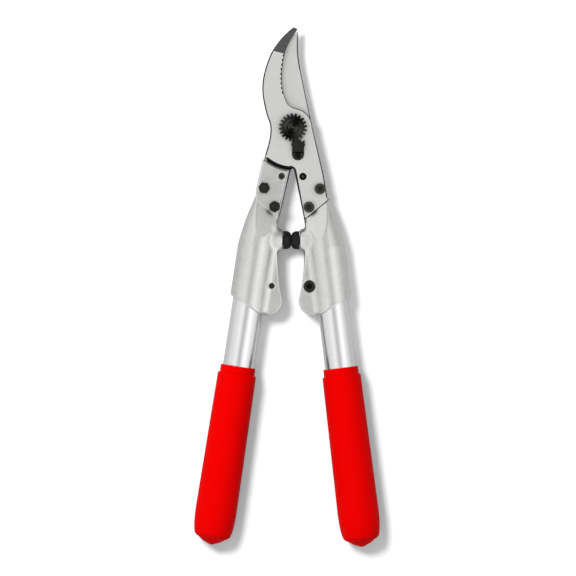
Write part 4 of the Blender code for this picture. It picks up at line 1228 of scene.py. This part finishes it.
def bevel_rims(bm, level, width):
    """Bevels the rims of a plate that lie at the level or above it."""
    rims = []
    for edge in bm.edges:
        low, high = sorted(vert.co.z for vert in edge.verts)
        if low > level - 0.01 and high - low < 0.01:
            rims.append(edge)
    bmesh.ops.bevel(bm, geom=rims, offset=width, affect="EDGES", segments=2, profile=0.5, material=-1)


def toothed_outline(clearance=0.0, widening=1.0):
    """The nut's outline, or one that clears it with slightly wider teeth."""
    return [
        at_angle((0, 0), radius + clearance, TOOTH_PHASE + (i + share * widening) * 360 / NUT_TEETH)
        for i in range(NUT_TEETH)
        for radius, share in TOOTH
    ]


def make_toothed_nut():
    low = COUNTER_FRONT + CLEARANCE
    top = low + NUT_DISC
    end = top + NUT_COLLAR
    bm = plate(toothed_outline(), low, top)
    bevel_rims(bm, low, TOOTH_BEVEL)
    made = thing("toothed_nut_milled", bm, (turned_steel_painted_sheen,))
    collar = (
        (0, low + 1),
        (NUT_COLLAR_RADIUS + 0.9, low + 1),
        (NUT_COLLAR_RADIUS + 0.9, top - 0.2),
        (NUT_COLLAR_RADIUS + 0.2, top + 0.1),
        (NUT_COLLAR_RADIUS, top + 0.5),
        (NUT_COLLAR_RADIUS, end - 0.4),
        (NUT_COLLAR_RADIUS - 0.4, end),
        (0, end),
    )
    carve(made, turned(collar, 64), "UNION")
    bore = (
        (0, low - 1),
        (NUT_BORE_RADIUS, low - 1),
        (NUT_BORE_RADIUS, end - 0.3),
        (NUT_BORE_MOUTH, end + 0.05),
        (NUT_BORE_MOUTH, end + 1),
        (0, end + 1),
    )
    carve(made, turned(bore, 64))
    dress_fastener(made, "counter_half", "toothed_nut")


make_toothed_nut()


# The locking segment is a small black toothed sector that keeps the nut from turning. Its screw goes
# through its lower, domed round end into the counter-blade.
SEGMENT_END = Vector((4.15, -20.1))
SEGMENT_END_RADIUS = 4.7
SEGMENT_END_DROP = 0.5
SEGMENT_REACH = 3 * SEGMENT_END_RADIUS
SEGMENT_HALF_WIDTH = 4.65
SEGMENT_FLARE_HALF_WIDTH = 5.45
SEGMENT_FLARE_UP = 7.0
SEGMENT_FLARE_DROP = 2.2
SEGMENT_TIP_RADIUS = 11.3
SEGMENT_ROOT_RADIUS = 9.7
SEGMENT_TEETH = 4
SEGMENT_TOOTH = (
    (SEGMENT_ROOT_RADIUS, -0.32),
    (SEGMENT_TIP_RADIUS, -0.12),
    (SEGMENT_TIP_RADIUS, 0.12),
    (SEGMENT_ROOT_RADIUS, 0.32),
)
SEGMENT_FIRST_TOOTH = 64.5
SEGMENT_PITCH = 16.5
SEGMENT_THICKNESS = 3.4
SEGMENT_BEVEL = 0.25
SEGMENT_STEP = 1.2
SEGMENT_SCREW = SEGMENT_END - Vector((0, 1.2))
SEGMENT_STEP_Y = SEGMENT_SCREW.y + 2.6
NUT_TOOTH_WIDENING = 1.06
DOME_HEIGHT = 1.9
DOME_FOOT = -0.6
DOME_SINK = 1.2
DOME_ARC = 72
RECESS_DEPTH = 1.1
RECESS_WIDTH = 0.9
SCREW_HEAD_RADIUS = 2.1
SCREW_RADIUS = 1.5
SCREW_CLEARANCE = 0.2
SCREW_HEAD_HEIGHT = 0.8
SCREW_SOCKET = 2.5
SCREW_SOCKET_DEPTH = 0.6


def segment_strip(length):
    """A strip across the whole segment, of a length down from its step."""
    left, right = SEGMENT_END.x - SEGMENT_REACH, SEGMENT_END.x + SEGMENT_REACH
    top, bottom = SEGMENT_STEP_Y, SEGMENT_STEP_Y - length
    return [(left, bottom), (right, bottom), (right, top), (left, top)]


def rounding(radius, swell, foot, rise, steps, end=90):
    """A round of a turned profile, from its widest place at the foot inwards and up, to an angle."""
    angles = [math.radians(end * i / steps) for i in range(steps + 1)]
    return [(radius + swell * math.cos(a), foot + rise * math.sin(a)) for a in angles]


def make_locking_segment():
    low = COUNTER_FRONT + CLEARANCE
    high = low + SEGMENT_THICKNESS
    below, above, step = low - 1, high + 1, high - SEGMENT_STEP
    x, y = SEGMENT_END
    flare, waist = y + SEGMENT_FLARE_UP, y + SEGMENT_FLARE_UP - SEGMENT_FLARE_DROP
    outline = [
        at_angle(SEGMENT_END, radius, SEGMENT_FIRST_TOOTH + (i + share) * SEGMENT_PITCH)
        for i in range(SEGMENT_TEETH)
        for radius, share in SEGMENT_TOOTH
    ]
    outline += [(x - SEGMENT_FLARE_HALF_WIDTH, flare), (x - SEGMENT_HALF_WIDTH, waist)]
    outline += arc((x, y - SEGMENT_END_DROP), SEGMENT_END_RADIUS, 180, 360, 32)
    outline += [(x + SEGMENT_HALF_WIDTH, waist), (x + SEGMENT_FLARE_HALF_WIDTH, flare)]
    bm = plate(outline, low, high)
    bevel_rims(bm, high, SEGMENT_BEVEL)
    made = thing("locking_segment_milled", bm, (black_steel, recess_shade_black))
    mark_chamfer_wear_and_highlights(made.data)
    carve(made, plate(toothed_outline(CLEARANCE, NUT_TOOTH_WIDENING), below, above))
    carve(made, plate(segment_strip(SEGMENT_REACH), step - DOME_SINK, above))
    dome_profile = [
        (0, DOME_FOOT),
        (SEGMENT_END_RADIUS, DOME_FOOT),
        *rounding(0, SEGMENT_END_RADIUS, 0, DOME_HEIGHT, 6, DOME_ARC),
        (0, DOME_HEIGHT),
    ]
    dome = turned(dome_profile, 64)
    dome.transform(Matrix.Translation((x, y - SEGMENT_END_DROP, step - DOME_SINK)))
    carve(made, dome, "UNION")
    # The groove under the step and the screw's pocket take the near-black, as the step's painted shadow and
    # the pocket's painted shade.
    carve(made, plate(segment_strip(RECESS_WIDTH), step - RECESS_DEPTH, above), slot=1)
    pocket_radius = SCREW_HEAD_RADIUS + SCREW_CLEARANCE
    carve(made, drill(bmesh.new(), SEGMENT_SCREW, pocket_radius, step - RECESS_DEPTH, above), slot=1)
    carve(made, drill(bmesh.new(), SEGMENT_SCREW, SCREW_RADIUS + SCREW_CLEARANCE, below, above))
    dress(made, "counter_half", "locking_segment")


def make_segment_screw():
    top = COUNTER_FRONT + CLEARANCE + SEGMENT_THICKNESS - SEGMENT_STEP
    seat = top - SCREW_HEAD_HEIGHT
    foot = PIVOT_LEVEL + SEAT + CLEARANCE
    profile = (
        (0, foot),
        (SCREW_RADIUS - 0.3, foot),
        (SCREW_RADIUS, foot + 0.3),
        (SCREW_RADIUS, seat),
        (SCREW_HEAD_RADIUS, seat),
        (SCREW_HEAD_RADIUS, top - 0.35),
        (SCREW_HEAD_RADIUS - 0.3, top),
        (0, top),
    )
    # The screw is near-black all over, as painted shade in its pocket.
    made = thing("segment_screw_turned", turned(profile), (recess_shade_black,))
    carve(made, hex_prism(SCREW_SOCKET, top - SCREW_SOCKET_DEPTH, top + 1))
    made.data.transform(Matrix.Translation(SEGMENT_SCREW.to_3d() * MM))
    dress_fastener(made, "counter_half", "segment_screw")


make_locking_segment()
make_segment_screw()


# Each head carries a domed bumper of black moulded rubber, pushed by its stem into the boss. The two
# meet between the handles and stop them softly.
BUMPER_BASE_X = -6.25
BUMPER_RADIUS = 7.1
BUMPER_LENGTH = 6.24
BUMPER_STRAIGHT = 2.0
BUMPER_FLAT_RADIUS = 3.4
STEM_RADIUS = 3.5
STEM_LENGTH = 5.0

black_rubber = finish_material(
    "moulded_rubber",
    (0.008, 0.008, 0.0076),
    0.0,
    0.48,
    spread=0.2,
    grain_depth=0.5,
    mottle=300.0,
    mottle_depth=0.4,
    specular=0.25,
)


def make_bumper(side):
    swell = BUMPER_RADIUS - BUMPER_FLAT_RADIUS
    profile = [
        (0, -STEM_LENGTH),
        (STEM_RADIUS - 0.5, -STEM_LENGTH),
        (STEM_RADIUS, 0.5 - STEM_LENGTH),
        (STEM_RADIUS, 0),
        (BUMPER_RADIUS - 0.2, 0),
        (BUMPER_RADIUS, 0.2),
        *rounding(BUMPER_FLAT_RADIUS, swell, BUMPER_STRAIGHT, BUMPER_LENGTH - BUMPER_STRAIGHT, 12),
        (0, BUMPER_LENGTH),
    ]
    made = thing("rubber_bumper_" + side, turned(profile), (black_rubber,))
    put(made, side, (BUMPER_BASE_X, BOSS_AXIS_Y), lay=ACROSS)
    dress(made, BODIES[side], side + "_bumper")


for side in HALVES:
    make_bumper(side)


# The handle tubes are drawn aluminium, satin anodised, so fine lines run along them. Each is pushed
# into its head's sleeve and pinched there by the clamp ear.
TUBE_RADIUS = 12.0
TUBE_WALL = 1.6
TUBE_START = 97.0
TUBE_EASE = 0.4
GRIP_START = 186.8
GRIP_LENGTH = 139.4
GRIP_END_WALL = 6.0
DOWN_TUBE = Matrix(((SPLAY_COSINE, 0, -SPLAY_SINE), (-SPLAY_SINE, 0, -SPLAY_COSINE), (0, 1, 0))).to_4x4()

anodised_tubes = {
    side: finish_material(
        "anodised_tube_" + side,
        (0.86, 0.86, 0.86),
        1.0,
        0.26,
        spread=0.06,
        grain=(2.2, 0.02, 2.2),
        grain_depth=0.06,
        mottle=60.0,
        mottle_depth=0.02,
        bump=0.003,
        turn=turn,
    )
    for side, turn in (("left", HANDLE_SPLAY), ("right", -HANDLE_SPLAY))
}


def make_tube(side):
    end = GRIP_START + GRIP_LENGTH - GRIP_END_WALL
    inner = TUBE_RADIUS - TUBE_WALL
    profile = (
        (TUBE_RADIUS - TUBE_EASE, TUBE_START),
        (TUBE_RADIUS, TUBE_START + TUBE_EASE),
        (TUBE_RADIUS, end - TUBE_EASE),
        (TUBE_RADIUS - TUBE_EASE, end),
        (inner + TUBE_EASE, end),
        (inner, end - TUBE_EASE),
        (inner, TUBE_START + TUBE_EASE),
        (inner + TUBE_EASE, TUBE_START),
    )
    made = thing("drawn_tube_" + side, turned(profile, 96), (anodised_tubes[side],))
    put(made, side, (-AXIS_OFFSET, 0), lay=DOWN_TUBE)
    dress(made, BODIES[side], side + "_handle_tube")


for side in HALVES:
    make_tube(side)


# A black socket bolt pinches each slit sleeve on its tube. Its head sits in a pocket of the ear, at the
# front of the right handle and at the back of the left one.
CLAMP_RADIUS = 2.0
CLAMP_HEAD_HEIGHT = 3.0
CLAMP_SEAT = -4.9


def make_clamp_bolt(side):
    centre = on_axis(*CLAMP_PLACE)
    length = EAR_FRONT - CLEARANCE - CLAMP_SEAT
    node_name = side + "_clamp_bolt"
    finishes = (black_fastener, recess_shade_black)
    name = "clamp_screw_" + side
    make_bolt(name, side, centre, CLAMP_SEAT, length, CLAMP_HEAD_HEIGHT, node_name, finishes, CLAMP_RADIUS)


for side in HALVES:
    make_clamp_bolt(side)


# The grips are red soft plastic dipped over the tubes. A thin collar opens each one, the body swells
# towards the hand's heel, and the closed end comes to a shallow point.
GRIP_BORE = 12.3
COLLAR_RADIUS = 13.5
COLLAR_LENGTH = 6.0
MOUTH_RADIUS = 14.9
BELLY_RADIUS = 16.0
BELLY_ALONG = 112.0
BELLY_STEPS = 16
CONE_RADIUS = 12.8
CONE_HEIGHT = 6.6
CONE_SLOPE = ((3.1, 2.1), (6.1, 4.2))
NUB_RADIUS = 3.0

red_grip = finish_material(
    "red_dipped_grip",
    (0.89, 0.0004, 0.0004),
    0.0,
    0.5,
    spread=0.1,
    grain=(0.6, 0.6, 0.6),
    grain_depth=0.06,
    mottle=45.0,
    mottle_depth=0.06,
    specular=0.02,
    cast=(0.1, 0.1, 0.1),
)


def make_grip(side):
    start = COLLAR_LENGTH + 1.0
    swell = (Vector((MOUTH_RADIUS, start)), Vector((BELLY_RADIUS, BELLY_ALONG)))
    shoulder = GRIP_LENGTH - CONE_HEIGHT
    belly_round = (CONE_RADIUS, BELLY_RADIUS - CONE_RADIUS, BELLY_ALONG, shoulder - BELLY_ALONG)
    inside = GRIP_LENGTH - GRIP_END_WALL + CLEARANCE
    profile = [
        (GRIP_BORE, 0.2),
        (GRIP_BORE + 0.2, 0),
        (COLLAR_RADIUS - 0.3, 0),
        (COLLAR_RADIUS, 0.3),
        (COLLAR_RADIUS, COLLAR_LENGTH - 0.5),
        (COLLAR_RADIUS + 0.2, COLLAR_LENGTH - 0.1),
        (MOUTH_RADIUS - 0.6, COLLAR_LENGTH),
        (MOUTH_RADIUS - 0.15, COLLAR_LENGTH + 0.3),
        *[swell[0].lerp(swell[1], i / BELLY_STEPS) for i in range(BELLY_STEPS + 1)],
        *rounding(*belly_round, BELLY_STEPS)[1:],
        *[(CONE_RADIUS - inwards, shoulder + up) for inwards, up in CONE_SLOPE],
        (NUB_RADIUS, GRIP_LENGTH - 0.9),
        (NUB_RADIUS - 1.2, GRIP_LENGTH - 0.3),
        (0, GRIP_LENGTH),
        (0, inside),
        (GRIP_BORE, inside),
    ]
    made = thing("dipped_grip_" + side, turned(profile, 96), (red_grip,))
    put(made, side, (-AXIS_OFFSET, 0), lay=DOWN_TUBE @ Matrix.Translation((0, 0, GRIP_START * MM)))
    dress(made, BODIES[side], side + "_grip")


for side in HALVES:
    make_grip(side)


# The lopper lies on a white table under soft studio light. The key light is a softbox to the upper left,
# so a soft shadow falls to the lower right, and the metal shows the pale room. Sizes here are in metres.
TABLE_LEVEL = cad_box[0][2] - 0.01 * MM
TABLE_SIZE = 12.0
KEY_PLACE = Vector((-0.79, 0.57, 1.985))
KEY_AIM = Vector((0.0, -0.12, 0.0))
KEY_POWER = 35.0
KEY_SIZE = 0.66
ROOM_FILL = 0.38
TABLE_COLOUR = 0.62
TABLE_SEEN_COLOUR = 1.15
TABLE_NEAR, TABLE_FAR = 0.42, 1.3
TABLE_LIFT, TABLE_FAR_LIFT = 0.12, 1.1
ROOM_FAR_WAY = Vector((0.45, 0.9, 0.0))
ROOM_FAR_START, ROOM_FAR_FULL = 0.45, 0.85
ROOM_FAR_SHADE = 0.45
ROOM_STOPS = (
    (0.0, 0.8),
    (0.12, 0.88),
    (0.25, 1.08),
    (0.36, 0.92),
    (0.45, 0.54),
    (0.55, 0.54),
    (0.64, 0.88),
    (0.77, 1.3),
    (0.85, 1.2),
    (0.93, 0.95),
    (1.0, 0.8),
)


def make_table():
    """The camera sees the table white, and far off whiter still. Its bounced light is plain and paler."""
    bm = bmesh.new()
    bmesh.ops.create_grid(bm, x_segments=1, y_segments=1, size=TABLE_SIZE / 2)
    bmesh.ops.translate(bm, verts=bm.verts, vec=(0, 0, TABLE_LEVEL))
    material = bpy.data.materials.new("white_table")
    material.use_nodes = True
    tree = material.node_tree
    tree.nodes.remove(tree.nodes["Principled BSDF"])
    seen = node(tree, "ShaderNodeLightPath").outputs["Is Camera Ray"]
    whites = {"Factor": seen, "A": TABLE_COLOUR, "B": TABLE_SEEN_COLOUR}
    white = node(tree, "ShaderNodeMix", whites, data_type="FLOAT").outputs["Result"]
    place = node(tree, "ShaderNodeTexCoord").outputs["Object"]
    away = node(tree, "ShaderNodeVectorMath", {0: place}, operation="LENGTH").outputs["Value"]
    lift = mapped(tree, away, TABLE_NEAR, TABLE_FAR, TABLE_LIFT, TABLE_FAR_LIFT)
    paint = node(tree, "ShaderNodeBsdfDiffuse", {"Color": white})
    glow = node(tree, "ShaderNodeEmission", {"Strength": maths(tree, "MULTIPLY", seen, lift)})
    both = node(tree, "ShaderNodeAddShader", {0: paint.outputs[0], 1: glow.outputs[0]})
    tree.links.new(both.outputs[0], tree.nodes["Material Output"].inputs["Surface"])
    table = thing("table", bm, (material,), unit=1.0)


def make_key_light():
    key = bpy.data.lights.new("key", "AREA")
    key.shape = "DISK"
    key.energy = KEY_POWER
    key.size = KEY_SIZE
    lamp = bpy.data.objects.new("key", key)
    lamp.location = KEY_PLACE
    lamp.rotation_euler = (KEY_AIM - KEY_PLACE).to_track_quat("-Z", "Y").to_euler()
    lamp.visible_glossy = False
    bpy.context.scene.collection.objects.link(lamp)


def make_room():
    """Metal mirrors a room that is pale at the sides and darker overhead and far off. The camera sees
    plain white, and the rest is lit by the fill alone. The ramp holds half levels, as it ends at 1."""
    world = bpy.data.worlds.new("studio")
    bpy.context.scene.world = world
    world.use_nodes = True
    tree = world.node_tree
    way = node(tree, "ShaderNodeTexCoord").outputs["Generated"]
    sideways = node(tree, "ShaderNodeSeparateXYZ", {0: way}).outputs["X"]
    ramp = node(tree, "ShaderNodeValToRGB", {"Fac": maths(tree, "MULTIPLY_ADD", sideways, 0.5, 0.5)})
    ramp.color_ramp.interpolation = "EASE"
    stops = ramp.color_ramp.elements
    for i, (place, level) in enumerate(ROOM_STOPS):
        stop = stops[i] if i < 2 else stops.new(place)
        stop.position = place
        stop.color = (level / 2, level / 2, level / 2, 1)
    walls = maths(tree, "MULTIPLY", ramp.outputs["Color"], 2.0)
    far = node(tree, "ShaderNodeVectorMath", {0: way, 1: ROOM_FAR_WAY}, operation="DOT_PRODUCT")
    far_range = (ROOM_FAR_START, ROOM_FAR_FULL, 1.0, ROOM_FAR_SHADE)
    far_shade = mapped(tree, far.outputs["Value"], *far_range, interpolation_type="SMOOTHSTEP")
    path = node(tree, "ShaderNodeLightPath").outputs
    mirrored = maths(tree, "MULTIPLY", path["Is Glossy Ray"], maths(tree, "MULTIPLY", walls, far_shade))
    straight = maths(tree, "MAXIMUM", path["Is Camera Ray"], path["Is Transmission Ray"])
    strength = maths(tree, "MAXIMUM", maths(tree, "MAXIMUM", mirrored, straight), ROOM_FILL)
    background = tree.nodes["Background"].inputs
    background["Color"].default_value = (1, 1, 1, 1)
    tree.links.new(strength, background["Strength"])


make_table()
make_key_light()
make_room()


# The camera looks straight down from high above, with the tool's length up the picture and the small
# turn of the photograph.
CAMERA_OVER = Vector((-1.98, -123.98)) * MM
CAMERA_HEIGHT = 6.0
CAMERA_FOCUS_LEVEL = 12 * MM
CAMERA_ROLL = math.radians(0.87)
FRAME_WIDTH = 445.0 * MM
SENSOR = 36.0


def make_camera():
    camera = bpy.data.cameras.new("camera")
    camera.sensor_width = SENSOR
    camera.lens = SENSOR * CAMERA_HEIGHT / FRAME_WIDTH
    camera.clip_start, camera.clip_end = 0.05, 20
    seen_from = bpy.data.objects.new("camera", camera)
    seen_from.location = (*CAMERA_OVER, CAMERA_FOCUS_LEVEL + CAMERA_HEIGHT)
    seen_from.rotation_euler = (0, 0, CAMERA_ROLL)
    bpy.context.scene.collection.objects.link(seen_from)
    bpy.context.scene.camera = seen_from


make_camera()
bpy.context.scene.view_settings.view_transform = "Standard"
